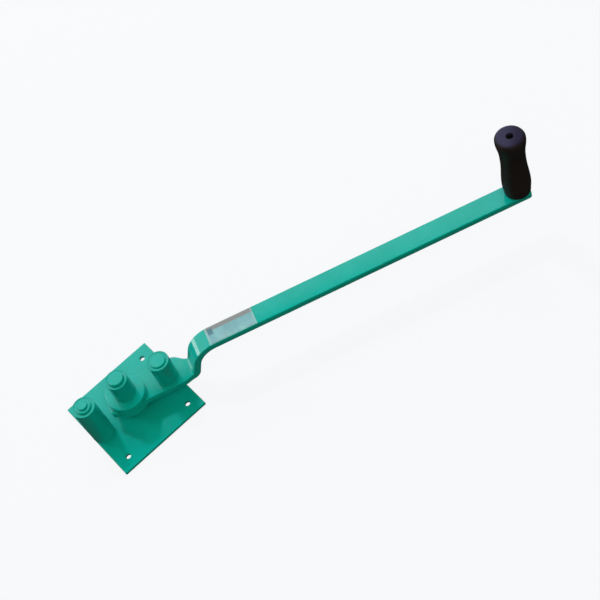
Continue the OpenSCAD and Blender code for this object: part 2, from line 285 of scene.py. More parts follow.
def revolved(
    profile: np.ndarray,
    centre: Span,
    segments: int = 96,
    closed: bool = False,
    radius_at: RadiusRule | None = None,
) -> Surface:
    """Carries a profile of (radius, height) pairs round an upright axis.

    Args:
        profile: The pairs, running upwards on the outside.
        centre: Where the axis stands.
        segments: Number of steps round the axis.
        closed: Whether the profile joins up, as a tube's does.
        radius_at: Where the shape isn't round, gives the radius from the profile's radius, its
            height and the angle.

    Returns:
        The surface of revolution.
    """
    angle = np.linspace(0, FULL_TURN, segments, endpoint=False)[None, :]
    radius, height = profile[:, 0, None], profile[:, 1, None]
    spread = radius if radius_at is None else radius_at(radius, height, angle)
    faces = grid_faces(len(profile), segments, closed)
    return Surface(around(centre, spread, angle, height), [faces])


@dataclass
class Edge:
    """One edge of a slab, with the roundings at its lower and its upper face.

    Its outline runs anticlockwise outside and clockwise round a hole.
    """

    outline: np.ndarray
    lower_round: float
    upper_round: float
    steps: int = 5

    def rings(self, bottom: float, top: float) -> tuple[np.ndarray, np.ndarray]:
        """Carries the edge's side view, an arc, a straight and an arc, along the outline.

        Args:
            bottom: Height of the slab's underside.
            top: Height of the slab's upper face.

        Returns:
            The flat place and the height of each point, in rows from the underside up.
        """
        along = unit(np.roll(self.outline, -1, axis=0) - np.roll(self.outline, 1, axis=0))
        outward = np.stack([along[:, 1], -along[:, 0]], axis=-1)
        lower = np.linspace(-QUARTER_TURN, 0, self.steps + 1)
        upper = np.linspace(0, QUARTER_TURN, self.steps + 1)
        inset = np.concatenate([
            self.lower_round * (1 - np.cos(lower)),
            self.upper_round * (1 - np.cos(upper)),
        ])
        height = np.concatenate([
            bottom + self.lower_round * (1 + np.sin(lower)),
            top - self.upper_round * (1 - np.sin(upper)),
        ])
        flat = self.outline[None] - outward[None] * inset[:, None, None]
        return flat, np.broadcast_to(height[:, None], flat.shape[:2])


def inside(spots: np.ndarray, outlines: list[np.ndarray]) -> np.ndarray:
    """Tells which spots the outlines wind round once, which leaves out holes and what lies outside.

    The winding is the sum of the angles between neighbouring outline points, seen from the spot.

    Args:
        spots: The spots, one row each.
        outlines: The outlines' points.

    Returns:
        Whether each spot is inside.
    """
    turns = np.zeros(len(spots))
    for outline in outlines:
        arm = outline[None] - spots[:, None]
        onward = np.roll(arm, -1, axis=1)
        cross = arm[..., 0] * onward[..., 1] - arm[..., 1] * onward[..., 0]
        turns += np.arctan2(cross, (arm * onward).sum(axis=-1)).sum(axis=1)
    return turns > math.pi


def flat_faces(outlines: list[np.ndarray], ribs: np.ndarray) -> np.ndarray:
    """Triangles that fill the first outline and leave the others, which are holes, open.

    Args:
        outlines: The outlines' points.
        ribs: Pairs of the first outline's points that an edge has to join.

    Returns:
        Three indices into all the outlines' points for each triangle, anticlockwise.
    """
    spots = np.vstack(outlines)
    starts = np.cumsum([0] + [len(outline) for outline in outlines[:-1]])
    edges = [
        np.stack([np.arange(len(outline)), np.roll(np.arange(len(outline)), -1)], axis=-1) + start
        for outline, start in zip(outlines, starts)
    ]
    pairs = np.vstack(edges + [ribs]).astype(int).tolist()
    whole_hull = 0
    _, _, found, origins, _, _ = delaunay_2d_cdt(
        [Vector(spot) for spot in spots.tolist()], pairs, [], whole_hull, OUTLINE_GAP, True
    )
    source = np.array([origin[0] for origin in origins])
    faces = source[np.array(found)]
    corner = spots[faces]
    first, second = corner[:, 1] - corner[:, 0], corner[:, 2] - corner[:, 0]
    backward = first[:, 0] * second[:, 1] < first[:, 1] * second[:, 0]
    faces[backward] = faces[backward][:, ::-1]
    return faces[inside(corner.mean(axis=1), outlines)]


def slab(
    edges: list[Edge], bottom: float, top: float, fold: Fold, ribs: np.ndarray = NO_RIBS
) -> Surface:
    """Flat piece with rounded edges and holes, carried into space by a fold.

    Args:
        edges: The outer edge first, then the edges of the holes.
        bottom: Height of the underside before the fold.
        top: Height of the upper face before the fold.
        fold: Gives points in space from flat places and heights.
        ribs: Pairs of the outer edge's points between which both faces have an edge.

    Returns:
        The closed surface.
    """
    points, faces, lower_ids, upper_ids, lower, upper = [], [], [], [], [], []
    start = 0
    for edge in edges:
        flat, height = edge.rings(bottom, top)
        rows, columns = height.shape
        points.append(fold(flat.reshape(-1, 2), height.reshape(-1)))
        faces.append(grid_faces(rows, columns) + start)
        lower_ids.append(start + np.arange(columns))
        upper_ids.append(start + (rows - 1) * columns + np.arange(columns))
        lower.append(flat[0])
        upper.append(flat[-1])
        start += rows * columns
    faces.append(np.concatenate(lower_ids)[flat_faces(lower, ribs)][:, ::-1])
    faces.append(np.concatenate(upper_ids)[flat_faces(upper, ribs)])
    return Surface(np.vstack(points), faces)


def level(flat: np.ndarray, height: np.ndarray) -> np.ndarray:
    """The fold of a piece that stays flat."""
    return np.column_stack([flat, height])


@dataclass(frozen=True)
class Drum:
    """Axis, outer radius and height span of a round upright node of the frame."""

    x: float
    y: float
    radius: float
    bottom: float
    top: float

    @classmethod
    def of(cls, node: str) -> Drum:
        """Reads a node's drum from its box.

        Args:
            node: Name of the node.

        Returns:
            The drum, as wide as the box is along X.
        """
        low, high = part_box(node)
        middle = (low + high) / 2
        return cls(middle.x, middle.y, (high.x - low.x) / 2, low.z, high.z)

    @property
    def axis(self) -> Span:
        """Where the axis stands."""
        return self.x, self.y

    def pin(self, chamfer: float) -> Surface:
        """Round bar with a chamfer at its upper end.

        Args:
            chamfer: Width of the chamfer.

        Returns:
            The closed bar.
        """
        corners = [
            (0, self.bottom, 0),
            (self.radius, self.bottom, TURNED_EDGE),
            (self.radius, self.top - chamfer, TURNED_EDGE),
            (self.radius - chamfer, self.top, TURNED_EDGE),
            (0, self.top, 0),
        ]
        return revolved(rounded(corners), self.axis)

    def sleeve(
        self, bore: float, chamfer: float, soften: float = TURNED_EDGE, recess: Span = (0.0, 0.0)
    ) -> Surface:
        """Tube with both outer edges chamfered.

        Args:
            bore: Radius of the bore.
            chamfer: Width of the chamfers.
            soften: Radius that rounds the edges of the chamfers.
            recess: Depth to which the bore is widened at the upper end, and the share of the wall
                that this takes.

        Returns:
            The closed tube.
        """
        depth, share = recess
        corners = [
            (bore, self.bottom, soften / 2),
            (self.radius - chamfer, self.bottom, soften),
            (self.radius, self.bottom + chamfer, soften),
            (self.radius, self.top - chamfer, soften),
            (self.radius - chamfer, self.top, soften),
        ]
        if depth:
            wide = bore + share * (self.radius - bore)
            corners += [(wide, self.top, soften / 2), (wide, self.top - depth, 0)]
        corners.append((bore, self.top - depth, soften / 2))
        return revolved(rounded(corners, closed=True), self.axis, closed=True)


@dataclass(frozen=True)
class PinFit:
    """How the upper end of a pin is turned, and the sleeve that runs on it."""

    pin_chamfer: float = 0.75 * MM
    sleeve_chamfer: float = 0.5 * MM
    recess_depth: float = 0.5 * MM
    recess_share: float = 0.6

    def sleeve(self, node: str, pin: Drum) -> Surface:
        """The sleeve of a node, bored to run on a pin and widened at its upper end."""
        recess = (self.recess_depth, self.recess_share)
        return Drum.of(node).sleeve(pin.radius + CLEARANCE, self.sleeve_chamfer, recess=recess)


@dataclass(frozen=True)
class Bead:
    """Fillet weld laid round a foot, with the ripples of a hand-fed rod."""

    ripples: int = 34
    ripple_depth: float = 0.16 * MM
    ripple_lean: float = 0.9
    wander: float = 0.25 * MM
    wander_waves: tuple[Span, ...] = ((3, 0.7), (5, 2.1))
    bulge: float = 0.16
    bulge_share: float = 0.7
    toe_power: float = 1.25
    segments: int = 272
    steps: int = 12

    def laid(self, drum: Drum, foot: float) -> Surface:
        """Lays the bead in the corner between a foot and the face that it stands on.

        The section is a power of the quarter circle between its two toes, and bulges as a half
        sine. Each ripple is a rounded scale whose crest leans forward at mid-bead, and the bead's
        width wanders slowly, in a few waves round the foot.

        Args:
            drum: Outer extent of the bead.
            foot: Radius of the foot that the bead goes round.

        Returns:
            The closed ring.
        """
        angle = np.linspace(0, FULL_TURN, self.segments, endpoint=False)[None, :]
        share = np.linspace(0, 1, self.steps + 1)[:, None]
        leg, rise = drum.radius - foot, drum.top - drum.bottom
        crown = np.sin(math.pi * share)
        scale = np.abs(np.sin(self.ripples * angle / 2 + self.ripple_lean * crown))
        waves = sum(np.sin(count * angle + phase) for count, phase in self.wander_waves)
        drift = self.wander * waves / len(self.wander_waves)
        swell = crown * (self.bulge * leg + self.ripple_depth * (scale - 1) + drift)
        out = leg * np.cos(QUARTER_TURN * share) ** self.toe_power + swell * self.bulge_share
        up = rise * np.sin(QUARTER_TURN * share) ** self.toe_power + swell * self.bulge_share
        radius = np.vstack([foot + np.clip(out, 0, None), np.full_like(angle, foot)])
        height = np.vstack([drum.bottom + up, np.full_like(angle, drum.bottom)])
        faces = grid_faces(len(radius), self.segments, closed_rows=True)
        return Surface(around(drum.axis, radius, angle, height), [faces])


# Shader nodes


class Sketch:
    """Adds and links nodes in one shader tree."""

    def __init__(self, tree: bpy.types.NodeTree) -> None:
        """Takes the tree and clears it."""
        self.tree = tree
        tree.nodes.clear()

    def put(self, target: Socket, value: object) -> None:
        """Links a socket to an input, or sets the input's value.

        Args:
            target: The input.
            value: A socket, a number, a vector or a colour, which is made opaque.
        """
        if isinstance(value, Socket):
            self.tree.links.new(value, target)
        elif target.type == "RGBA":
            target.default_value = (*value, 1.0)
        else:
            target.default_value = value

    def add(self, kind: str, inputs: dict | None = None, **settings: object) -> bpy.types.Node:
        """Adds one node.

        Args:
            kind: Blender's name of the node's type.
            inputs: Sockets to link, and values to set, by the input's name or number.
            settings: The node's own properties.

        Returns:
            The new node.
        """
        node = self.tree.nodes.new(kind)
        for name, value in settings.items():
            setattr(node, name, value)
        for key, value in (inputs or {}).items():
            self.put(node.inputs[key], value)
        return node

    def noise(self, vector: Socket, scale: object, detail: float) -> Socket:
        """Value noise of a scale, as a socket of 0 to 1."""
        inputs = {"Vector": vector, "Scale": scale, "Detail": detail}
        return self.add("ShaderNodeTexNoise", inputs).outputs["Fac"]

    def ramp(
        self, value: Socket, start: float, stop: float, low: float = 0.0, high: float = 1.0
    ) -> Socket:
        """Carries a value along a smooth step.

        Args:
            value: The value.
            start: Where the step starts.
            stop: Where the step ends.
            low: The result at the start and before it.
            high: The result at the end and past it.

        Returns:
            The result.
        """
        names = ("Value", "From Min", "From Max", "To Min", "To Max")
        inputs = dict(zip(names, (value, start, stop, low, high)))
        return self.add("ShaderNodeMapRange", inputs, interpolation_type="SMOOTHSTEP").outputs[0]

    def math(self, operation: str, first: object, second: object) -> Socket:
        """One operation on two sockets or numbers."""
        return self.add("ShaderNodeMath", {0: first, 1: second}, operation=operation).outputs[0]

    def times(self, first: object, second: object) -> Socket:
        """Product of two sockets or numbers."""
        return self.math("MULTIPLY", first, second)

    def plus(self, first: object, second: object) -> Socket:
        """Sum of two sockets or numbers."""
        return self.math("ADD", first, second)

    def larger(self, first: object, second: object) -> Socket:
        """The larger of two sockets or numbers."""
        return self.math("MAXIMUM", first, second)

    def weighted(self, first: Term, second: Term) -> Socket:
        """Sum of two terms, each a value and its weight."""
        return self.plus(self.times(*first), self.times(*second))

    def between(self, value: Socket, rise: Span, fall: Span) -> Socket:
        """One from the end of a rise to the end of a fall, and nought outside them."""
        return self.times(self.ramp(value, *rise), self.ramp(value, *fall))

    def mix(self, share: object, first: object, second: object) -> Socket:
        """Blend of two colours, each a socket or a linear colour."""
        inputs = {MIX_SHARE: share, MIX_FIRST: first, MIX_SECOND: second}
        return self.add("ShaderNodeMix", inputs, data_type="RGBA").outputs[MIX_RESULT]


class Group(Sketch):
    """Sketch of a node group that makes numbers from a vector and the numbers it is given."""

    def __init__(self, name: str, *numbers: str) -> None:
        """Makes the group and the sockets of what it is given.

        Args:
            name: Name of the group.
            numbers: Names of the numbers that it is given after the vector.
        """
        super().__init__(bpy.data.node_groups.new(name, "ShaderNodeTree"))
        self.socket("Vector", "INPUT", "NodeSocketVector")
        for number in numbers:
            self.socket(number, "INPUT")
        self.given = list(self.add("NodeGroupInput").outputs)[: 1 + len(numbers)]

    def socket(self, name: str, side: str, kind: str = "NodeSocketFloat") -> None:
        """Adds a socket to the group's interface."""
        self.tree.interface.new_socket(name, in_out=side, socket_type=kind)

    def give(self, results: dict[str, Socket]) -> bpy.types.NodeTree:
        """Adds a socket for each result and links it.

        Args:
            results: What the group makes, by name.

        Returns:
            The node group.
        """
        for name in results:
            self.socket(name, "OUTPUT")
        self.add("NodeGroupOutput", results)
        return self.tree


@dataclass(frozen=True)
class CoatFilm:
    """Film of a poured or brushed coat: slow drift of its tone, sags and a fine peel."""

    sag_detail: float = 3.0
    peel_detail: float = 1.0
    drift_span: Span = (0.3, 0.7)
    dull_span: Span = (0.4, 0.75)
    peel_span: Span = (0.2, 0.8)
    peel_dulling: Span = (0.6, 1.0)
    sag_height: float = 0.75

    def group(self) -> bpy.types.NodeTree:
        """Builds the effect.

        Returns:
            The node group.
        """
        group = Group("Coat film", "Sag scale", "Peel scale", "Peel share")
        vector, sag_scale, peel_scale, peel_share = group.given
        sag = group.noise(vector, sag_scale, self.sag_detail)
        peel = group.noise(vector, peel_scale, self.peel_detail)
        dulled = group.ramp(peel, *self.peel_span, *self.peel_dulling)
        return group.give({
            "Drift": group.ramp(sag, *self.drift_span),
            "Gloss loss": group.times(group.ramp(sag, *self.dull_span), dulled),
            "Height": group.weighted((sag, self.sag_height), (peel, peel_share)),
        })


@dataclass(frozen=True)
class Handling:
    """Traces of handling: sparse dust nibs and faint rubbed patches."""

    dust_scale: float = 47.0
    dust_span: Span = (0.6, 0.72)
    nib_span: Span = (0.16, 0.04)
    rub_span: Span = (0.45, 0.8)
    rub_detail: float = 4.0

    def group(self) -> bpy.types.NodeTree:
        """Builds the effect.

        Returns:
            The node group.
        """
        group = Group("Handling", "Nib scale", "Rub scale")
        vector, nib_scale, rub_scale = group.given
        cells = group.add("ShaderNodeTexVoronoi", {"Vector": vector, "Scale": nib_scale})
        spots = group.ramp(cells.outputs["Distance"], *self.nib_span)
        dusty = group.ramp(group.noise(vector, self.dust_scale, 0.0), *self.dust_span)
        rub = group.ramp(group.noise(vector, rub_scale, self.rub_detail), *self.rub_span)
        return group.give({"Nibs": group.times(spots, dusty), "Rub": rub})


@dataclass(frozen=True)
class Turning:
    """Fine rings that a lathe or a drawing die leaves, as bands across the vector's Z."""

    squeeze: Triple = (0.01, 0.01, 1.0)
    ring_detail: float = 3.0
    streak_scale: float = 120.0
    streak_detail: float = 2.0
    streak_span: Span = (0.35, 0.65)

    def group(self) -> bpy.types.NodeTree:
        """Builds the effect.

        Returns:
            The node group.
        """
        group = Group("Turning", "Ring scale")
        vector, ring_scale = group.given
        inputs = {0: vector, 1: self.squeeze}
        bands = group.add("ShaderNodeVectorMath", inputs, operation="MULTIPLY").outputs[0]
        rings = group.noise(bands, ring_scale, self.ring_detail)
        streak = group.noise(bands, self.streak_scale, self.streak_detail)
        return group.give({"Rings": rings, "Streak": group.ramp(streak, *self.streak_span)})


@dataclass
class Effects:
    """Node groups that the finishes share, each made once."""

    film: bpy.types.NodeTree = field(default_factory=CoatFilm().group)
    handling: bpy.types.NodeTree = field(default_factory=Handling().group)
    turning: bpy.types.NodeTree = field(default_factory=Turning().group)


class Dressing(Sketch):
    """Sketch of one finish's material."""

    def __init__(self, finish: BaseFinish) -> None:
        """Makes the material, with the coordinates that its effects take.

        Args:
            finish: The finish.
        """
        self.finish = finish
        self.material = bpy.data.materials.new(finish.name)
        self.material.use_nodes = True
        super().__init__(self.material.node_tree)
        self.place = self.add("ShaderNodeTexCoord").outputs["Object"]

    def effect(self, tree: bpy.types.NodeTree) -> Outputs:
        """Places a shared effect, with each of its numbers from the finish's field of that name.

        Args:
            tree: The effect's node group.

        Returns:
            The effect's outputs.
        """
        node = self.add("ShaderNodeGroup", {"Vector": self.place}, node_tree=tree)
        for number in node.inputs[1:]:
            number.default_value = getattr(self.finish, number.name.lower().replace(" ", "_"))
        return node.outputs

    def mark(self, name: str) -> Outputs:
        """Outputs of the node that reads one of the piece's own marks."""
        return self.add("ShaderNodeAttribute", attribute_name=name).outputs


@dataclass(frozen=True, kw_only=True)
class BaseFinish:
    """What every finish has: its slot, the numbers of its effects, its gloss and its relief.

    The gloss is the roughness where none of it is lost, and where all of it is.
    """

    name: str
    slot: str
    gloss: Span
    nib_scale: float
    rub_scale: float
    relief_depth: float
    relief_strength: float
    sag_scale: float = 30.0
    peel_scale: float = 400.0
    peel_share: float = 0.25
    ring_scale: float = 900.0
    metallic: float = 0.0
    specular: float = 0.5
    refraction: float = 1.5

    def layers(self, dressing: Dressing, effects: Effects) -> Layers:
        """Colour, loss of gloss and height, which each kind of finish makes in its own way."""
        raise NotImplementedError

    def material(self, effects: Effects) -> bpy.types.Material:
        """Builds the finish from its layers.

        Args:
            effects: The shared node groups.

        Returns:
            The material.
        """
        dressing = Dressing(self)
        colour, loss, height = self.layers(dressing, effects)
        relief = {"Height": height, "Distance": self.relief_depth, "Strength": self.relief_strength}
        shader = dressing.add("ShaderNodeBsdfPrincipled", {
            "Base Color": colour,
            "Roughness": dressing.ramp(loss, 0.0, 1.0, *self.gloss),
            "Metallic": self.metallic,
            "Specular IOR Level": self.specular,
            "IOR": self.refraction,
            "Normal": dressing.add("ShaderNodeBump", relief).outputs[0],
        })
        dressing.add("ShaderNodeOutputMaterial", {"Surface": shader.outputs[0]})
        return dressing.material


@dataclass(frozen=True, kw_only=True)
class Enamel(BaseFinish):
    """Glossy teal enamel, laid on thickly over steel, with faint turning rings on lathe work."""

    name: str = "enamel"
    slot: str = "enamel"
    colour: Colour = srgb(9, 175, 162)
    deep: Colour = srgb(6, 170, 156)
    pale: Colour = srgb(24, 184, 172)
    gloss: Span = (0.08, 0.13)
    specular: float = 0.56
    sag_scale: float = 26.0
    peel_scale: float = 420.0
    peel_share: float = 0.06
    nib_scale: float = 230.0
    rub_scale: float = 11.0
    ring_scale: float = 700.0
    rub_tint: float = 0.12
    nib_tint: float = 0.25
    nib_height: float = 0.35
    ring_height: float = 0.12
    relief_depth: float = 0.35 * MM
    relief_strength: float = 0.35
    turned: bool = False

    def layers(self, dressing: Dressing, effects: Effects) -> Layers:
        """Drifting tone with rubbed patches and nibs, and a film that shows both and the rings.

        Args:
            dressing: The material's sketch.
            effects: The shared node groups.

        Returns:
            Colour, loss of gloss and height.
        """
        film, traces = dressing.effect(effects.film), dressing.effect(effects.handling)
        drifted = dressing.mix(film["Drift"], self.colour, self.deep)
        dusted = dressing.weighted(
            (traces["Rub"], self.rub_tint), (traces["Nibs"], self.nib_tint)
        )
        height = film["Height"]
        if self.turned:
            rings = dressing.effect(effects.turning)["Rings"]
            height = dressing.plus(height, dressing.times(rings, self.ring_height))
        height = dressing.plus(height, dressing.times(traces["Nibs"], self.nib_height))
        return dressing.mix(dusted, drifted, self.pale), film["Gloss loss"], height


@dataclass(frozen=True, kw_only=True)
class BareMetal(BaseFinish):
    """Bare or plated metal with turning rings and rubbed patches."""

    bright: Colour
    dull: Colour
    metallic: float = 1.0
    ring_scale: float = 1100.0
    nib_scale: float = 500.0
    rub_scale: float = 60.0
    rub_tint: float = 0.6
    streak_tint: float = 0.3
    relief_depth: float = 0.04 * MM
    relief_strength: float = 0.6

    def layers(self, dressing: Dressing, effects: Effects) -> Layers:
        """Rubs and streaks that dull the tone and the gloss alike, over the rings.

        Args:
            dressing: The material's sketch.
            effects: The shared node groups.

        Returns:
            Colour, loss of gloss and height.
        """
        rings, traces = dressing.effect(effects.turning), dressing.effect(effects.handling)
        tone = dressing.weighted(
            (traces["Rub"], self.rub_tint), (rings["Streak"], self.streak_tint)
        )
        return dressing.mix(tone, self.bright, self.dull), tone, rings["Rings"]


@dataclass(frozen=True, kw_only=True)
class BlackPlastic(BaseFinish):
    """Moulded black plastic with a fine spark texture and a painted blue-grey sheen on its crown."""

    name: str = "black plastic"
    slot: str = "grip"
    crown_mark: str = "grip_crown"
    colour: Colour = srgb(38, 32, 31)
    worn: Colour = srgb(49, 43, 42)
    # Painted sheen: the crown's two tones stand for the backdrop's reflection on the grip's top,
    # darker to one side
    crown: Colour = srgb(58, 55, 80)
    crown_shade: Colour = srgb(37, 34, 55)
    crown_span: Span = (0.3, 0.8)
    gloss: Span = (0.48, 0.6)
    specular: float = 0.1
    sag_scale: float = 60.0
    peel_scale: float = 1500.0
    nib_scale: float = 420.0
    rub_scale: float = 35.0
    rub_tint: float = 0.35
    nib_tint: float = 0.2
    relief_depth: float = 0.12 * MM
    relief_strength: float = 0.5

    def layers(self, dressing: Dressing, effects: Effects) -> Layers:
        """Rubbed and dusted side, which runs into the crown's painted sheen, dimmer towards one
        side.

        Args:
            dressing: The material's sketch.
            effects: The shared node groups.

        Returns:
            Colour, loss of gloss and height.
        """
        film, traces = dressing.effect(effects.film), dressing.effect(effects.handling)
        pale = dressing.weighted(
            (traces["Rub"], self.rub_tint), (traces["Nibs"], self.nib_tint)
        )
        side = dressing.mix(pale, self.colour, self.worn)
        marks = {0: dressing.mark(self.crown_mark)["Vector"]}
        shares = dressing.add("ShaderNodeSeparateXYZ", marks).outputs
        # Painted sheen on the crown, dimming across the grip as its reflection would
        shaded = dressing.ramp(shares["Y"], *self.crown_span)
        top = dressing.mix(shaded, self.crown, self.crown_shade)
        colour = dressing.mix(dressing.ramp(shares["X"], 0.0, 1.0), side, top)
        return colour, film["Gloss loss"], film["Height"]


@dataclass(frozen=True, kw_only=True)
class PrintedFoil(BaseFinish):
    """Metal foil label printed in plain fields of tone.

    A band runs along its far edge, a small block stands at its start and a pale margin closes
    each end. Spans are shares of the label's width, from its near edge, or of its length, from
    its start.
    """

    name: str = "printed foil"
    slot: str = "label"
    run_mark: str = "label_run"
    side_mark: str = "label_side"
    field_tone: Colour = srgb(146, 196, 200)
    cloud_tone: Colour = srgb(124, 175, 184)
    band_tone: Colour = srgb(140, 142, 142)
    block_tone: Colour = srgb(84, 124, 140)
    margin_tone: Colour = srgb(150, 196, 192)
    band_side: Span = (0.72, 0.78)
    block_side: tuple[Span, Span] = ((0.5, 0.56), (0.92, 0.86))
    block_run: tuple[Span, Span] = ((0.03, 0.05), (0.15, 0.13))
    margin_run: tuple[Span, Span] = ((0.045, 0.03), (0.965, 0.98))
    block_tint: float = 0.9
    margin_tint: float = 0.6
    rub_tint: float = 0.3
    gloss: Span = (0.34, 0.5)
    specular: float = 0.4
    sag_scale: float = 55.0
    peel_scale: float = 900.0
    nib_scale: float = 380.0
    rub_scale: float = 70.0
    relief_depth: float = 0.1 * MM
    relief_strength: float = 0.4

    def layers(self, dressing: Dressing, effects: Effects) -> Layers:
        """Lays the tones one over the other, from the clouded field to the rubbed patches.

        Args:
            dressing: The material's sketch.
            effects: The shared node groups.

        Returns:
            Colour, loss of gloss and height.
        """
        film, traces = dressing.effect(effects.film), dressing.effect(effects.handling)
        side, run = (dressing.mark(name)["Fac"] for name in (self.side_mark, self.run_mark))
        across = dressing.between(side, *self.block_side)
        block = dressing.times(across, dressing.between(run, *self.block_run))
        margin = dressing.larger(*(dressing.ramp(run, *span) for span in self.margin_run))
        layers = (
            (film["Drift"], self.cloud_tone),
            (dressing.ramp(side, *self.band_side), self.band_tone),
            (dressing.times(block, self.block_tint), self.block_tone),
            (dressing.times(margin, self.margin_tint), self.margin_tone),
            (dressing.times(traces["Rub"], self.rub_tint), self.band_tone),
        )
        tone = self.field_tone
        for share, over in layers:
            tone = dressing.mix(share, tone, over)
        return tone, film["Gloss loss"], film["Height"]


class Finish(Enum):
    """The finishes that the pieces choose from."""

    ENAMEL = Enamel()
    TURNED_ENAMEL = Enamel(name="turned enamel", turned=True)
    ZINC = BareMetal(
        name="zinc",
        slot="zinc",
        bright=srgb(202, 204, 206),
        dull=srgb(150, 152, 155),
        gloss=(0.28, 0.46),
    )
    BRONZE = BareMetal(
        name="bronze",
        slot="bronze",
        bright=srgb(196, 158, 96),
        dull=srgb(140, 108, 62),
        gloss=(0.3, 0.5),
    )
    PLASTIC = BlackPlastic()
    FOIL = PrintedFoil()


# The sub-assemblies


class Workshop:
    """Turns surfaces into pieces that ride on the frame's bodies."""

    def __init__(self, frame: dict) -> None:
        """Takes the frame and makes the finishes' materials.

        Args:
            frame: The loaded frame.
        """
        self.frame = frame
        effects = Effects()
        self.materials = {finish: finish.value.material(effects) for finish in Finish}

    def fit(
        self, surface: Surface, name: str, node: str, body: str, finish: Finish
    ) -> bpy.types.Object:
        """Makes one piece that stands for a node of the frame.

        Args:
            surface: The piece's shape.
            name: The piece's name.
            node: The node that the piece stands for.
            body: The body that the piece rides on.
            finish: The piece's finish.

        Returns:
            The piece's object.
        """
        piece = added(name, surface.mesh(name))
        piece.modifiers.new("even shading", "WEIGHTED_NORMAL").keep_sharp = True
        piece.data.materials.append(self.materials[finish])
        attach(piece, body)
        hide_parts(node)
        LOG.info("%s rides on %s: %d faces", name, body, len(piece.data.polygons))
        return piece

    def keep(self, finish: Finish, *nodes: str) -> None:
        """Gives the finish to nodes of the frame that stay as they are.

        Args:
            finish: The nodes' finish.
            nodes: The nodes' names.
        """
        for node in nodes:
            mesh = self.frame["nodes"][node].data
            mesh.materials.clear()
            mesh.materials.append(self.materials[finish])


@dataclass
class BasePlate:
    """Square plate with four fixing holes and two pin holes."""

    corner_round: float = 1 * MM
    edge_round: float = 0.9 * MM
    hole_round: float = 0.25 * MM
    hole_film: float = 0.45 * MM
    seat_round: float = 0.05 * MM
    bead_room: float = 2 * MM

    def build(self, shop: Workshop) -> None:
        """Makes the plate, with its holes where the frame's bolt pattern and pins are.

        The enamel that has run into a fixing hole narrows it by the film's thickness all round, and
        the pins' holes are widened below, where the welds lie.

        Args:
            shop: The workshop that holds the frame.
        """
        low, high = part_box("base_plate")
        square = ((low.x, low.y), (high.x, low.y), (high.x, high.y), (low.x, high.y))
        outline = rounded([(x, y, self.corner_round) for x, y in square], closed=True)
        edges = [Edge(outline, self.edge_round, self.edge_round)]
        bolts = shop.frame["record"]["mounts"][0]["dims"]
        reach_x, reach_y = bolts["spacing_x_mm"] * MM / 2, bolts["spacing_y_mm"] * MM / 2
        radius = bolts["hole_r_mm"] * MM - self.hole_film
        for x in (-reach_x, reach_x):
            for y in (-reach_y, reach_y):
                edges.append(Edge(ring(x, y, radius), self.hole_round, self.hole_round))
        for pin in (Drum.of("pivot_pin"), Drum.of("stop_pin")):
            seat = ring(pin.x, pin.y, pin.radius + CLEARANCE)
            edges.append(Edge(seat, self.bead_room, self.seat_round))
        plate = slab(edges, low.z, high.z, level)
        shop.fit(plate, "plate", "base_plate", "base", Finish.ENAMEL)
        shop.keep(Finish.ENAMEL, "underside_welds")


@dataclass
class PivotStack:
    """Boss, thrust washer, pivot pin and forming sleeve, stacked on the plate."""

    boss_round: float = 0.8 * MM
    washer_chamfer: float = 0.25 * MM
    washer_soften: float = 0.125 * MM
    fit: PinFit = PinFit()
    bead: Bead = Bead()

    def build(self, shop: Workshop) -> None:
        """Makes the stack from the plate up.

        Args:
            shop: The workshop that holds the frame.
        """
        boss, pin = Drum.of("pivot_boss"), Drum.of("pivot_pin")
        bore = pin.radius + CLEARANCE
        collar = boss.sleeve(bore, self.boss_round)
        shop.fit(collar, "boss", "pivot_boss", "base", Finish.TURNED_ENAMEL)
        bead = self.bead.laid(Drum.of("boss_weld"), boss.radius)
        shop.fit(bead, "boss_bead", "boss_weld", "base", Finish.ENAMEL)
        washer = Drum.of("thrust_washer").sleeve(bore, self.washer_chamfer, self.washer_soften)
        shop.fit(washer, "thrust_ring", "thrust_washer", "base", Finish.ZINC)
        post = pin.pin(self.fit.pin_chamfer)
        shop.fit(post, "pivot_post", "pivot_pin", "base", Finish.TURNED_ENAMEL)
        sleeve = self.fit.sleeve("former_sleeve", pin)
        shop.fit(sleeve, "forming_sleeve", "former_sleeve", "former", Finish.TURNED_ENAMEL)


@dataclass
class StopPost:
    """Stop pin with its turned tip, its bead and its roller."""

    tip_radius: float = 7 * MM
    tip_height: float = 3 * MM
    fit: PinFit = PinFit()
    bead: Bead = Bead(ripples=28)

    def build(self, shop: Workshop) -> None:
        """Makes the post, the bead round its foot and the roller.

        Args:
            shop: The workshop that holds the frame.
        """
        pin, chamfer = Drum.of("stop_pin"), self.fit.pin_chamfer
        shoulder = pin.top - self.tip_height
        corners = [
            (0, pin.bottom, 0),
            (pin.radius, pin.bottom, TURNED_EDGE),
            (pin.radius, shoulder - chamfer, TURNED_EDGE),
            (pin.radius - chamfer, shoulder, TURNED_EDGE),
            (self.tip_radius, shoulder, TURNED_EDGE),
            (self.tip_radius, pin.top - chamfer, TURNED_EDGE),
            (self.tip_radius - chamfer, pin.top, TURNED_EDGE),
            (0, pin.top, 0),
        ]
        post = revolved(rounded(corners), pin.axis)
        shop.fit(post, "stop_post", "stop_pin", "base", Finish.TURNED_ENAMEL)
        bead = self.bead.laid(Drum.of("stop_weld"), pin.radius)
        shop.fit(bead, "stop_bead", "stop_weld", "base", Finish.ENAMEL)
        roller = self.fit.sleeve("stop_roller", pin)
        shop.fit(roller, "stop_sleeve", "stop_roller", "stop_roller", Finish.TURNED_ENAMEL)


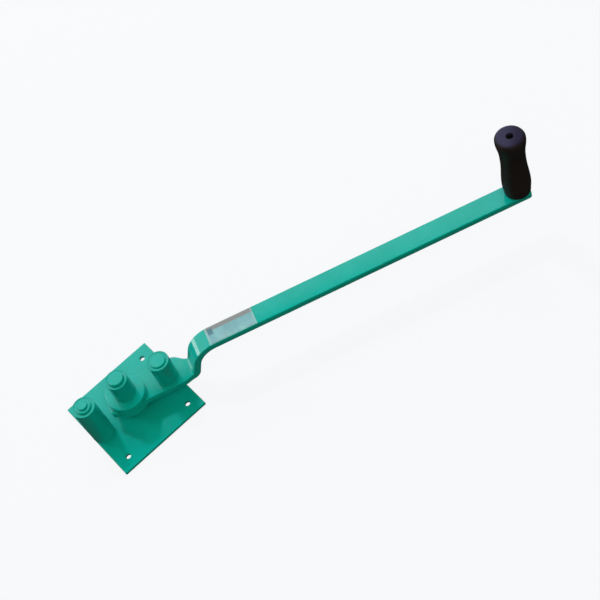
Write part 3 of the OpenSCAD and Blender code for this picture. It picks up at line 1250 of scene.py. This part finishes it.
@dataclass(frozen=True)
class BarPath:
    """Side view of the bar's middle line: head, lower bend, riser, upper bend and arm."""

    bend_start: float
    head_height: float
    rise: float
    slope: float
    lower_radius: float
    upper_radius: float

    @property
    def marks(self) -> tuple[float, float, float, float]:
        """Lengths along the line at which the two bends start, each with the straight after it.

        Returns:
            Where the lower bend, the riser, the upper bend and the arm start.
        """
        bends = (self.lower_radius + self.upper_radius) * (1 - math.cos(self.slope))
        riser = (self.rise - bends) / math.sin(self.slope)
        lower_end = self.bend_start + self.lower_radius * self.slope
        upper_start = lower_end + riser
        arm_start = upper_start + self.upper_radius * self.slope
        return self.bend_start, lower_end, upper_start, arm_start

    def at(self, length: np.ndarray, lift: np.ndarray) -> tuple[np.ndarray, np.ndarray]:
        """Side-view place of points that lie a lift above the middle line.

        The angle turned in each bend is the length run in it over its radius. The place adds up the
        straight runs and each bend's radius times the sines and cosines of that angle, and the lift
        is square to it.

        Args:
            length: Lengths along the middle line.
            lift: Heights square to the middle line.

        Returns:
            Distances from the pivot and heights.
        """
        start, lower_end, upper_start, arm_start = self.marks
        up = np.clip((length - start) / self.lower_radius, 0, self.slope)
        down = np.clip((length - upper_start) / self.upper_radius, 0, self.slope)
        riser = np.clip(length, lower_end, upper_start) - lower_end
        reach = np.minimum(length, start) + np.maximum(length - arm_start, 0)
        reach += self.lower_radius * np.sin(up) + riser * math.cos(self.slope)
        reach += self.upper_radius * (math.sin(self.slope) - np.sin(self.slope - down))
        height = self.head_height + self.lower_radius * (1 - np.cos(up))
        height += riser * math.sin(self.slope)
        height += self.upper_radius * (np.cos(self.slope - down) - math.cos(self.slope))
        tilt = up - down
        return reach - lift * np.sin(tilt), height + lift * np.cos(tilt)


@dataclass
class Lever:
    """Joggled flat bar with its widened head, hub, bush, bend pin and label."""

    bar_width: float = 30 * MM
    bar_thickness: float = 10 * MM
    bend_start: float = 91 * MM
    slope: float = math.radians(71)
    lower_bend: float = 4 * MM
    upper_bend: float = 30 * MM
    narrow_side: float = 18.5 * MM
    wide_taper: float = 76 * MM
    narrow_taper: float = 79 * MM
    taper_round: float = 4 * MM
    taper_samples: int = 17
    rear_corner: float = 8 * MM
    end_corner: float = 4.5 * MM
    edge_round: float = 1.6 * MM
    hole_round: float = 0.3 * MM
    bulge_blend: float = 2.5 * MM
    spigot_radius: float = 18 * MM
    hub_round: float = 1.6 * MM
    hub_segments: int = 128
    spindle_segments: int = 32
    # Stations along the head, the lower bend, the riser, the upper bend and the arm
    run_stations: tuple[int, ...] = (100, 14, 5, 20, 14)
    corner_stations: int = 12
    station_digits: int = 9
    end_points: int = 6
    rear_points: int = 8
    rib_margin: float = 1 * MM
    label_lap: float = 2 / 18
    label_length: float = 69 * MM
    label_width: float = 28 * MM
    label_thickness: float = 0.4 * MM
    label_corner: float = 0.8 * MM
    label_rim: float = 0.25
    label_sink: float = 0.02 * MM
    label_grid: tuple[int, int] = (36, 29)
    fit: PinFit = PinFit()
    # Read from the frame
    angle: float = field(init=False)
    pin_distance: float = field(init=False)
    grip_distance: float = field(init=False)
    rear: float = field(init=False)
    far: float = field(init=False)
    bottom: float = field(init=False)
    wide_side: float = field(init=False)
    extra: float = field(init=False)
    path: BarPath = field(init=False)

    def measure(self, shop: Workshop) -> None:
        """Reads the lever's direction and the bar's extent along it from the frame.

        The bends make the bar longer than it reaches, and the extra is by how much.

        Args:
            shop: The workshop that holds the frame.
        """
        roller, grip = Drum.of("bend_roller"), Drum.of("grip")
        self.angle = math.atan2(roller.y, roller.x)
        self.pin_distance = math.hypot(*roller.axis)
        self.grip_distance = math.hypot(*grip.axis)
        points = turned(points_of(shop.frame["nodes"]["lever_bar"].data), -self.angle)
        self.rear, _, self.bottom = points.min(axis=0)
        end, self.wide_side, top = points.max(axis=0)
        half = self.bar_thickness / 2
        self.path = BarPath(
            bend_start=self.bend_start,
            head_height=self.bottom + half,
            rise=top - half - (self.bottom + half),
            slope=self.slope,
            lower_radius=self.lower_bend + half,
            upper_radius=self.upper_bend + half,
        )
        arm_start = self.path.marks[-1]
        reach, _ = self.path.at(np.array([arm_start]), np.zeros(1))
        self.extra = arm_start - float(reach[0])
        self.far = end + self.extra

    def fold(self, flat: np.ndarray, lift: np.ndarray) -> np.ndarray:
        """Bends flat places, (length, across), and lifts from the middle line into space."""
        reach, height = self.path.at(flat[:, 0], lift)
        return turned(np.column_stack([reach, flat[:, 1], height]), self.angle)

    def sides(self, length: np.ndarray, hub_radius: float) -> tuple[np.ndarray, np.ndarray]:
        """Works out the bar's two sides at given lengths.

        Each side runs straight along the head, tapers to the bar's half width and stays there,
        averaged over a short window so that its corners are round. A disc as wide as the hub swells
        the narrow side by a smooth maximum, and circular arcs draw both sides in at the rear and at
        the end.

        Args:
            length: Lengths along the middle line.
            hub_radius: Radius of the disc under the hub.

        Returns:
            How far the bar reaches to its narrow side, as a negative number, and to its wide side.
        """
        half, blend = self.bar_width / 2, self.bulge_blend
        window = np.linspace(-self.taper_round, self.taper_round, self.taper_samples)
        window = length[:, None] + window[None, :]
        wide, narrow = (
            np.interp(window, [taper, self.bend_start], [head_side, half]).mean(axis=1)
            for taper, head_side in (
                (self.wide_taper, self.wide_side),
                (self.narrow_taper, self.narrow_side),
            )
        )
        disc = np.sqrt(np.clip(hub_radius**2 - length**2, 0, None))
        narrow = (narrow + disc + np.sqrt((narrow - disc) ** 2 + blend**2)) / 2
        narrow -= (np.sqrt((narrow - disc) ** 2 + blend**2) - np.abs(narrow - disc)) / 4
        drawn = np.zeros_like(length)
        gaps = ((self.rear_corner, length - self.rear), (self.end_corner, self.far - length))
        for corner, gap in gaps:
            shortfall = np.clip(corner - gap, 0, corner)
            drawn += corner - np.sqrt(corner**2 - shortfall**2)
        return drawn - narrow, wide - drawn

    def outline(self, hub_radius: float) -> tuple[np.ndarray, np.ndarray]:
        """Outline of the unbent bar, and the pairs of its points that lie opposite in the bends.

        Args:
            hub_radius: Radius of the disc under the hub.

        Returns:
            The outline, anticlockwise, and the pairs of indices.
        """
        turn = 1 - np.cos(np.linspace(0, QUARTER_TURN, self.corner_stations))
        marks = self.path.marks
        ends = [self.rear + self.rear_corner, *marks, self.far - self.end_corner]
        runs = [np.linspace(*run) for run in zip(ends, ends[1:], self.run_stations)]
        corners = [self.rear + self.rear_corner * turn, self.far - self.end_corner * turn]
        stations = np.unique(np.concatenate(runs + corners).round(self.station_digits))
        low, high = self.sides(stations, hub_radius)
        end_edge = np.linspace(low[-1], high[-1], self.end_points)[1:-1]
        rear_edge = np.linspace(high[0], low[0], self.rear_points)[1:-1]
        outline = np.vstack([
            np.column_stack([stations, low]),
            np.column_stack([np.full_like(end_edge, self.far), end_edge]),
            np.column_stack([stations, high])[::-1],
            np.column_stack([np.full_like(rear_edge, self.rear), rear_edge]),
        ])
        first, last = marks[0] - self.rib_margin, marks[-1] + self.rib_margin
        bent = np.flatnonzero((stations >= first) & (stations <= last))
        opposite = 2 * len(stations) + len(end_edge) - 1 - bent
        return outline, np.column_stack([bent, opposite])

    def bar(self, hub_radius: float, pin_radius: float, spindle_radius: float) -> Surface:
        """The bar as one bent slab with holes for the hub, the bend pin and the spindle.

        Args:
            hub_radius: Radius of the hub's flange.
            pin_radius: Radius of the bend pin.
            spindle_radius: Radius of the grip's spindle.

        Returns:
            The closed bar.
        """
        outline, ribs = self.outline(hub_radius)
        at_spindle = self.grip_distance + self.extra
        holes = [
            ring(0, 0, self.spigot_radius + CLEARANCE),
            ring(self.pin_distance, 0, pin_radius + CLEARANCE),
            ring(at_spindle, 0, spindle_radius + CLEARANCE, self.spindle_segments),
        ]
        edges = [Edge(outline, self.edge_round, self.edge_round)]
        edges += [Edge(hole, self.hole_round, self.hole_round) for hole in holes]
        half = self.bar_thickness / 2
        return slab(edges, -half, half, self.fold, ribs)

    def hub(self, drum: Drum, bush: Drum) -> Surface:
        """Hub with its spigot through the head and its flange on top.

        Args:
            drum: Outer extent of the hub.
            bush: Outer extent of the bush in it.

        Returns:
            The closed hub.
        """
        bore = bush.radius + CLEARANCE
        head_top = self.bottom + self.bar_thickness
        corners = [
            (bore, drum.bottom, self.hole_round),
            (self.spigot_radius, drum.bottom, self.hole_round),
            (self.spigot_radius, head_top, self.hole_round),
            (drum.radius, head_top, self.hole_round),
            (drum.radius, drum.top, self.hub_round),
            (bore, drum.top, self.hole_round),
        ]
        profile = rounded(corners, closed=True)
        return revolved(profile, drum.axis, segments=self.hub_segments, closed=True)

    def label(self) -> tuple[Surface, np.ndarray]:
        """Foil on the arm's top face, which starts in the upper bend and laps over the round edges.

        Across the arm the foil keeps to the flat and then drops as the edge's circle does. Its own
        edges run down to the bar as a square root of the distance from them, and its underside is
        the same sheet just below the bar's face.

        Returns:
            The closed sheet, and the shares of its points along and across.
        """
        rows, columns = (np.linspace(0, 1, count) for count in self.label_grid)
        run, side = np.meshgrid(rows, columns, indexing="ij")
        place = (side - 0.5) * self.label_width
        over = np.abs(place) - (self.bar_width / 2 - self.edge_round)
        over = np.clip(over, 0, self.edge_round)
        drop = self.edge_round - np.sqrt(self.edge_round**2 - over**2)
        lap = self.slope * self.label_lap
        arm_start = self.path.marks[-1]
        first = arm_start - lap * self.path.upper_radius
        outer_bend = self.upper_bend + self.bar_thickness
        last = arm_start - outer_bend * math.sin(lap) + self.label_length
        border = np.minimum(
            np.minimum(run, 1 - run) * self.label_length,
            np.minimum(side, 1 - side) * self.label_width,
        )
        thickness = np.sqrt(np.clip(border / self.label_corner, self.label_rim, 1))
        lift = self.bar_thickness / 2 - drop
        flat = np.column_stack([(first + run * (last - first)).ravel(), place.ravel()])
        upper = self.fold(flat, (lift + self.label_thickness * thickness).ravel())
        lower = self.fold(flat, (lift - self.label_sink).ravel())
        index = np.arange(run.size).reshape(run.shape)
        top = grid_faces(*run.shape, closed_columns=False)
        rim = np.concatenate([index[0, :-1], index[:-1, -1], index[-1, :0:-1], index[:0:-1, 0]])
        beside = np.roll(rim, -1)
        wall = np.column_stack([rim + run.size, beside + run.size, beside, rim])
        shares = np.tile(np.column_stack([run.ravel(), side.ravel()]), (2, 1))
        return Surface(np.vstack([upper, lower]), [top[:, ::-1], top + run.size, wall]), shares

    def build(self, shop: Workshop) -> None:
        """Makes the bar and everything that is fixed to it except the grip's fittings.

        Args:
            shop: The workshop that holds the frame.
        """
        self.measure(shop)
        hub, bush, pin = Drum.of("lever_hub"), Drum.of("hub_bush"), Drum.of("bend_pin")
        bar = self.bar(hub.radius, pin.radius, Grip.spindle_radius)
        shop.fit(bar, "lever_arm", "lever_bar", "lever", Finish.ENAMEL)
        shop.fit(self.hub(hub, bush), "hub", "lever_hub", "lever", Finish.TURNED_ENAMEL)
        bore = Drum.of("pivot_pin").radius + CLEARANCE
        liner = bush.sleeve(bore, self.hole_round, self.hole_round / 2)
        shop.fit(liner, "bush_liner", "hub_bush", "lever", Finish.BRONZE)
        post = pin.pin(self.fit.pin_chamfer)
        shop.fit(post, "bend_post", "bend_pin", "lever", Finish.TURNED_ENAMEL)
        roller = self.fit.sleeve("bend_roller", pin)
        shop.fit(roller, "bend_sleeve", "bend_roller", "bend_roller", Finish.TURNED_ENAMEL)
        shop.keep(Finish.ENAMEL, "hub_weld", "bend_pin_weld")
        foil, shares = self.label()
        label = shop.fit(foil, "foil_label", "label_plate", "lever", Finish.FOIL)
        for name, share in zip((PrintedFoil.run_mark, PrintedFoil.side_mark), shares.T):
            marks = label.data.attributes.new(name, "FLOAT", "POINT")
            marks.data.foreach_set("value", share.astype(np.float32))


@dataclass
class Grip:
    """Contoured revolving grip with its spindle, nut, washers and retaining screw."""

    # Contour: radii from the foot up, where they lie as shares of the height, and the ends
    foot_radius: float = 18 * MM
    swell_radius: float = 19.5 * MM
    waist_radius: float = 17 * MM
    swell_share: float = 0.17
    waist_share: float = 0.57
    flare_share: float = 0.93
    flare_lag: float = 1.8
    contour_steps: int = 70
    head_round: float = 6.25 * MM
    head_start: float = 1.05
    head_steps: int = 10
    foot_round: float = 2.2 * MM
    foot_fill: float = 0.98
    recess_radius: float = 4.8 * MM
    recess_depth: float = 11 * MM
    lip_round: float = 0.8 * MM
    # Painted sheen at the crown: how deep its band reaches and the side it dims towards; mould lines
    crown_depth: float = 2.5 * MM
    wear_side: Span = (0.66, -0.75)
    seam_height: float = 0.12 * MM
    seam_width: float = 0.02
    seam_turn: float = 0.6
    seam_fade: float = 2 * MM
    body_segments: int = 180
    # Spindle, its collar on the arm and its thread
    collar_room: float = 9.3 * MM
    collar_depth: float = 3.3 * MM
    collar_height: float = 3 * MM
    collar_round: float = 0.2 * MM
    spindle_radius: float = 4 * MM
    spindle_chamfer: float = 0.8 * MM
    spindle_round: float = 0.3 * MM
    spindle_segments: int = 64
    thread_pitch: float = 1.25 * MM
    thread_depth: float = 0.6 * MM
    thread_lead: float = 0.6 * MM
    thread_overlap: float = 1 * MM
    thread_margin: float = 0.1 * MM
    thread_steps: int = 40
    # Nut, and the chamfer and rounding of each washer
    nut_chamfer: float = 1.4 * MM
    nut_steps: int = 7
    nut_face: float = 0.98
    nut_cone: float = 1.7
    nut_segments: int = 120
    nut_washer_edge: Span = (0.3 * MM, 0.2 * MM)
    keeper_edge: Span = (0.2 * MM, 0.1 * MM)
    # Screw, rounded under its head, at the rim and at the dome, and its socket
    screw_radius: float = 2 * MM
    screw_head: float = 2.8 * MM
    screw_dome: float = 0.9 * MM
    screw_rounds: Triple = (0.2 * MM, 0.6 * MM, 0.5 * MM)
    screw_segments: int = 72
    socket_flats: float = 3 * MM
    socket_depth: float = 1.6 * MM
    socket_margin: float = 1e-6

    @property
    def bore(self) -> float:
        """Radius of a bore that runs on the spindle."""
        return self.spindle_radius + CLEARANCE

    def body_profile(self, drum: Drum) -> np.ndarray:
        """Section of the grip, its contour first and then its hollow.

        The contour goes by half-cosine steps from the foot to the swell, the waist and a late
        flare.

        Args:
            drum: Outer extent of the grip.

        Returns:
            The closed section as (radius, height) pairs.
        """
        span = drum.top - drum.bottom
        shares = np.array([0, self.swell_share, self.waist_share, self.flare_share])
        radii = np.array([self.foot_radius, self.swell_radius, self.waist_radius, drum.radius])
        share = np.linspace(self.foot_round / span, self.flare_share, self.contour_steps)
        piece = np.clip(np.searchsorted(shares, share, side="right") - 1, 0, 2)
        local = (share - shares[piece]) / (shares[piece + 1] - shares[piece])
        local = local ** np.where(piece == 2, self.flare_lag, 1)
        step = (1 - np.cos(math.pi * local)) / 2
        contour = radii[piece] + (radii[piece + 1] - radii[piece]) * step
        side = np.column_stack([contour, drum.bottom + share * span])
        foot = rounded([
            (self.collar_room, drum.bottom + self.collar_depth, 0),
            (self.collar_room, drum.bottom, self.lip_round),
            (contour[0], drum.bottom, self.foot_round * self.foot_fill),
            (contour[0], drum.bottom + self.foot_round, 0),
        ])
        head = rounded([
            (drum.radius, drum.top - self.head_round * self.head_start, 0),
            (drum.radius, drum.top, self.head_round),
            (self.recess_radius, drum.top, self.lip_round),
            (self.recess_radius, drum.top - self.recess_depth, 0),
            (self.bore, drum.top - self.recess_depth, 0),
            (self.bore, drum.bottom + self.collar_depth, 0),
        ], steps=self.head_steps)
        return np.vstack([foot, side[1:], head])

    def mark_crown(self, piece: bpy.types.Object, drum: Drum) -> None:
        """Marks each point with two shares that the plastic's painted sheen follows.

        The first goes from 0 at the lower edge of the painted sheen to 1 at the top face. The second
        goes from 0 to 1 across the grip, along the direction in which the painted sheen dims.

        Args:
            piece: The grip's object.
            drum: Outer extent of the grip.
        """
        points = points_of(piece.data)
        height = np.clip(1 + (points[:, 2] - drum.top) / self.crown_depth, 0, 1)
        across = (points[:, :2] - drum.axis) @ np.array(self.wear_side)
        across = 0.5 + across / (2 * drum.radius)
        shares = np.column_stack([height, across, np.zeros_like(across)])
        marks = piece.data.attributes.new(BlackPlastic.crown_mark, "FLOAT_VECTOR", "POINT")
        marks.data.foreach_set("vector", shares.astype(np.float32).ravel())

    def seam(self, radius: np.ndarray, height: np.ndarray, angle: np.ndarray) -> np.ndarray:
        """Adds the two mould lines: narrow bell curves on opposite sides, only on the contour.

        Args:
            radius: Radii of the section.
            height: Heights of the section, which the lines don't depend on.
            angle: Angles round the axis.

        Returns:
            The radius at each point.
        """
        outer = np.clip((radius - self.recess_radius * 2) / self.seam_fade, 0, 1)
        off = np.abs((angle + self.seam_turn) % math.pi - QUARTER_TURN)
        return radius + outer * self.seam_height * np.exp(-((off / self.seam_width) ** 2))

    def spindle(self, drum: Drum, arm_top: float, nut_bottom: float) -> Surface:
        """Spindle with its collar on the arm and a thread that shows below the nut.

        Args:
            drum: Extent of the spindle, whose radius is its collar's.
            arm_top: Height of the arm's top face.
            nut_bottom: Height of the nut's underside.

        Returns:
            The closed spindle.
        """
        plain, thread_top = self.spindle_radius, nut_bottom + self.thread_overlap
        thread = np.linspace(drum.bottom + self.thread_lead, thread_top, self.thread_steps)
        collar_top = arm_top + self.collar_height
        upper = rounded([
            (plain, thread_top, 0),
            (plain, arm_top, 0),
            (drum.radius, arm_top, self.collar_round),
            (drum.radius, collar_top, TURNED_EDGE),
            (plain, collar_top, 0),
            (plain, drum.top, self.spindle_round),
            (0, drum.top, 0),
        ])
        profile = np.vstack([
            [(0, drum.bottom), (plain - self.spindle_chamfer, drum.bottom)],
            np.column_stack([np.full_like(thread, plain), thread]),
            upper[1:],
        ])
        wide = profile[:, 0] > plain - self.thread_margin
        above, below = drum.bottom + self.thread_margin, thread_top
        cut = wide & (profile[:, 1] < below) & (profile[:, 1] > above)

        def groove(radius: np.ndarray, height: np.ndarray, angle: np.ndarray) -> np.ndarray:
            """Cuts a thread: a triangle wave of the height over the pitch less the turn."""
            wave = np.abs(((height / self.thread_pitch - angle / FULL_TURN) % 1) * 2 - 1)
            return radius - cut[:, None] * self.thread_depth * wave

        return revolved(profile, drum.axis, segments=self.spindle_segments, radius_at=groove)

    def nut(self, drum: Drum, flats: float) -> Surface:
        """Hexagon nut whose corners are turned off in a cone at both ends.

        Args:
            drum: Extent of the nut.
            flats: Width across its flats.

        Returns:
            The closed nut.
        """
        height = np.unique(np.concatenate([
            np.linspace(drum.bottom, drum.bottom + self.nut_chamfer, self.nut_steps),
            np.linspace(drum.top - self.nut_chamfer, drum.top, self.nut_steps),
        ]))
        outside = np.column_stack([np.full_like(height, flats), height])
        profile = np.vstack([[(self.bore, drum.bottom)], outside, [(self.bore, drum.top)]])
        depth = np.minimum(profile[:, 1] - drum.bottom, drum.top - profile[:, 1])
        cone = flats / 2 * self.nut_face + self.nut_cone * depth[:, None]

        def chamfered(radius: np.ndarray, _: np.ndarray, angle: np.ndarray) -> np.ndarray:
            """The lesser of the hexagon and a cone that widens from each end face."""
            outer = np.minimum(hexagon(flats, angle), cone)
            return np.where(radius > self.bore, outer, radius + 0 * angle)

        segments = self.nut_segments
        return revolved(profile, drum.axis, segments, closed=True, radius_at=chamfered)

    def screw(self, drum: Drum) -> Surface:
        """Retaining screw: plain shank and a domed head with a hexagon socket.

        Args:
            drum: Extent of the screw, whose radius is its head's.

        Returns:
            The closed screw.
        """
        shoulder, floor = drum.top - self.screw_head, drum.top - self.socket_depth
        socket = self.socket_flats / 2
        under, rim, dome = self.screw_rounds
        head = rounded([
            (self.screw_radius, shoulder, 0),
            (drum.radius, shoulder, under),
            (drum.radius, drum.top - self.screw_dome, rim),
            (drum.radius - self.screw_dome, drum.top, dome),
            (socket, drum.top, 0),
            (socket, floor, 0),
            (0, floor, 0),
        ])
        profile = np.vstack([[(0, drum.bottom), (self.screw_radius, drum.bottom)], head])

        def keyed(radius: np.ndarray, height: np.ndarray, angle: np.ndarray) -> np.ndarray:
            """Makes the socket's wall a hexagon."""
            wall = (np.abs(radius - socket) < self.socket_margin) & (height > shoulder)
            return np.where(wall, hexagon(self.socket_flats, angle), radius + 0 * angle)

        return revolved(profile, drum.axis, segments=self.screw_segments, radius_at=keyed)

    def build(self, shop: Workshop) -> None:
        """Makes the grip and the fittings that hold it on the arm.

        The nut is turned with the arm, so its width across corners is the mean of its box's sides.

        Args:
            shop: The workshop that holds the frame.
        """
        drum = Drum.of("grip")
        profile, segments = self.body_profile(drum), self.body_segments
        body = revolved(profile, drum.axis, segments, closed=True, radius_at=self.seam)
        # Marks where the grip's painted sheen lies and which way it dims
        self.mark_crown(shop.fit(body, "grip_body", "grip", "grip", Finish.PLASTIC), drum)
        nut, (nut_low, nut_high) = Drum.of("spindle_nut"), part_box("spindle_nut")
        arm_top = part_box("lever_bar")[1].z
        flats = (nut.radius + (nut_high.y - nut_low.y) / 2) * math.cos(HEX_HALF)
        washer = Drum.of("spindle_washer").sleeve(self.bore, *self.nut_washer_edge)
        screw_bore = self.screw_radius + CLEARANCE
        keeper = Drum.of("retainer_washer").sleeve(screw_bore, *self.keeper_edge)
        fittings = (
            (self.spindle(Drum.of("grip_spindle"), arm_top, nut.bottom), "spindle", "grip_spindle"),
            (self.nut(nut, flats), "nut", "spindle_nut"),
            (washer, "nut_washer", "spindle_washer"),
            (keeper, "keeper_washer", "retainer_washer"),
            (self.screw(Drum.of("retainer_screw")), "keeper_screw", "retainer_screw"),
        )
        for surface, name, node in fittings:
            shop.fit(surface, name, node, "lever", Finish.ZINC)


# Studio


@dataclass(frozen=True)
class Camera:
    """Camera at the photograph's viewing angle."""

    place: Triple = (-0.1103, -0.9979, 1.4818)
    azimuth: float = math.radians(-21.63)
    elevation: float = math.radians(55.37)
    roll: float = math.radians(-23.71)
    lens: float = 77.25
    sensor: float = 36.0

    def build(self) -> None:
        """Makes the camera and gives it to the scene."""
        data = bpy.data.cameras.new("camera")
        data.lens, data.sensor_width = self.lens, self.sensor
        camera = added("camera", data)
        aimed = Matrix.Rotation(self.azimuth, 4, "Z")
        aimed @= Matrix.Rotation(QUARTER_TURN - self.elevation, 4, "X")
        aimed @= Matrix.Rotation(self.roll, 4, "Z")
        camera.matrix_world = Matrix.Translation(self.place) @ aimed
        bpy.context.scene.camera = camera


@dataclass(frozen=True)
class Lamp:
    """Round lamp that hangs in a direction from the object and faces it."""

    name: str
    direction: Triple
    size: float
    power: float
    colour: Colour = (1.0, 1.0, 1.0)
    mirrored: bool = False
    distance: float = 4.0

    def build(self, aim: Vector) -> None:
        """Hangs the lamp and turns it to the place that it is aimed at.

        Args:
            aim: The place.
        """
        data = bpy.data.lights.new(self.name, "AREA")
        data.shape, data.size = "DISK", self.size
        data.energy, data.color = self.power, self.colour
        lamp = added(self.name, data)
        direction = Vector(self.direction).normalized()
        lamp.location = aim + direction * self.distance
        lamp.rotation_euler = direction.to_track_quat("Z", "Y").to_euler()
        lamp.visible_glossy = self.mirrored


def share_of_white(
    sketch: Sketch, path: Outputs, to_camera: object, to_mirror: float
) -> Socket:
    """Share of white for rays of the camera and for rays that mirrors and glass send on.

    Args:
        sketch: The tree's sketch.
        path: Outputs of its light path node.
        to_camera: The share that the camera sees.
        to_mirror: The share that mirrors and glass show.

    Returns:
        The share for any ray.
    """
    mirrored = sketch.larger(path["Is Glossy Ray"], path["Is Transmission Ray"])
    direct = sketch.times(path["Is Camera Ray"], to_camera)
    return sketch.plus(direct, sketch.times(mirrored, to_mirror))


@dataclass(frozen=True)
class Studio:
    """Pale floor, an even sky, soft lamps behind and in front, and one that shows in highlights."""

    aim: Triple = (0.05, 0.0, 0.04)
    lamps: tuple[Lamp, ...] = (
        Lamp("key", (0.107, 0.543, 0.833), 0.42, 43.0, COOL_LIGHT),
        Lamp("side", (0.55, 0.502, 0.668), 2.25, 41.0, COOL_LIGHT),
        Lamp("low", (-0.425, 0.872, 0.242), 1.4, 50.0),
        Lamp("front", (0.0, -0.5, 0.866), 1.7, 31.0, WARM_LIGHT),
        Lamp("glint", (-0.57, 0.8, 0.12), 1.1, 10.0, mirrored=True),
    )
    sky_strength: float = 0.41
    sky_tint: Colour = WARM_LIGHT
    behind_fade: Span = (0.0, 0.3)
    mirror_fade: Span = (0.829, 0.818)
    backdrop: Colour = (0.939, 0.947, 0.965)
    floor_glow: Colour = (0.978, 0.987, 1.0)
    floor_shade: Colour = (0.58, 0.586, 0.597)
    floor_bounce: Colour = (0.02, 0.03, 0.03)
    floor_white: float = 0.9
    floor_mirror: float = 0.02
    floor_fade: Span = (0.6, 2.5)
    floor_half: float = 6.0
    floor_drop: float = 0.4 * MM

    def build(self) -> None:
        """Makes the lamps, the sky and the floor."""
        bpy.context.scene.view_settings.view_transform = "Standard"
        for lamp in self.lamps:
            lamp.build(Vector(self.aim))
        self.build_sky()
        self.build_floor()

    def build_sky(self) -> None:
        """Lights the scene evenly and shows a pale backdrop.

        The camera sees the backdrop everywhere, and reflections see it behind the object, up to
        where it fades.
        """
        world = bpy.data.worlds.new("studio")
        bpy.context.scene.world = world
        world.use_nodes = True
        sketch = Sketch(world.node_tree)
        path = sketch.add("ShaderNodeLightPath").outputs
        sky = {"Color": self.sky_tint, "Strength": self.sky_strength}
        light = sketch.add("ShaderNodeBackground", sky).outputs[0]
        toward = sketch.add("ShaderNodeTexCoord").outputs["Generated"]
        spread = sketch.add("ShaderNodeSeparateXYZ", {0: toward}).outputs
        behind = sketch.ramp(spread["Y"], *self.behind_fade)
        shown = sketch.times(sketch.ramp(spread["Z"], *self.mirror_fade), behind)
        white = sketch.larger(path["Is Camera Ray"], shown)
        pale_sky = {"Color": self.backdrop, "Strength": white}
        pale = sketch.add("ShaderNodeBackground", pale_sky).outputs[0]
        seen = share_of_white(sketch, path, 1.0, 1.0)
        both = sketch.add("ShaderNodeMixShader", {0: seen, 1: light, 2: pale})
        sketch.add("ShaderNodeOutputWorld", {"Surface": both.outputs[0]})

    def build_floor(self) -> None:
        """Lays the floor, which keeps a faint shadow near the object and runs into the backdrop.

        The share of white and its colour go along a smooth step of the distance from the pivot.
        """
        half = self.floor_half
        corners = np.array([(-half, -half), (half, -half), (half, half), (-half, half)])
        points = np.column_stack([corners, np.full(len(corners), -self.floor_drop)])
        floor = added("floor", Surface(points, [np.arange(len(corners))[None]]).mesh("floor"))
        material = bpy.data.materials.new("pale floor")
        material.use_nodes = True
        sketch = Sketch(material.node_tree)
        path = sketch.add("ShaderNodeLightPath").outputs
        shade = sketch.mix(path["Is Camera Ray"], self.floor_bounce, self.floor_shade)
        matt = sketch.add("ShaderNodeBsdfDiffuse", {"Color": shade}).outputs[0]
        place = sketch.add("ShaderNodeTexCoord").outputs["Object"]
        length = sketch.add("ShaderNodeVectorMath", {0: place}, operation="LENGTH")
        distance = length.outputs["Value"]
        far = sketch.ramp(distance, *self.floor_fade)
        glow = sketch.mix(far, self.floor_glow, self.backdrop)
        white = sketch.add("ShaderNodeEmission", {"Color": glow, "Strength": 1.0}).outputs[0]
        share = sketch.ramp(distance, *self.floor_fade, low=self.floor_white)
        seen = share_of_white(sketch, path, share, self.floor_mirror)
        both = sketch.add("ShaderNodeMixShader", {0: seen, 1: matt, 2: white})
        sketch.add("ShaderNodeOutputMaterial", {"Surface": both.outputs[0]})
        floor.data.materials.append(material)


def main() -> None:
    """Builds the studio and the sub-assemblies in order."""
    logging.basicConfig(level=logging.INFO, format="%(name)s: %(message)s")
    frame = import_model()
    shop = Workshop(frame)
    Camera().build()
    Studio().build()
    for assembly in (BasePlate(), PivotStack(), StopPost(), Lever(), Grip()):
        assembly.build(shop)


if __name__ == "__main__":
    main()
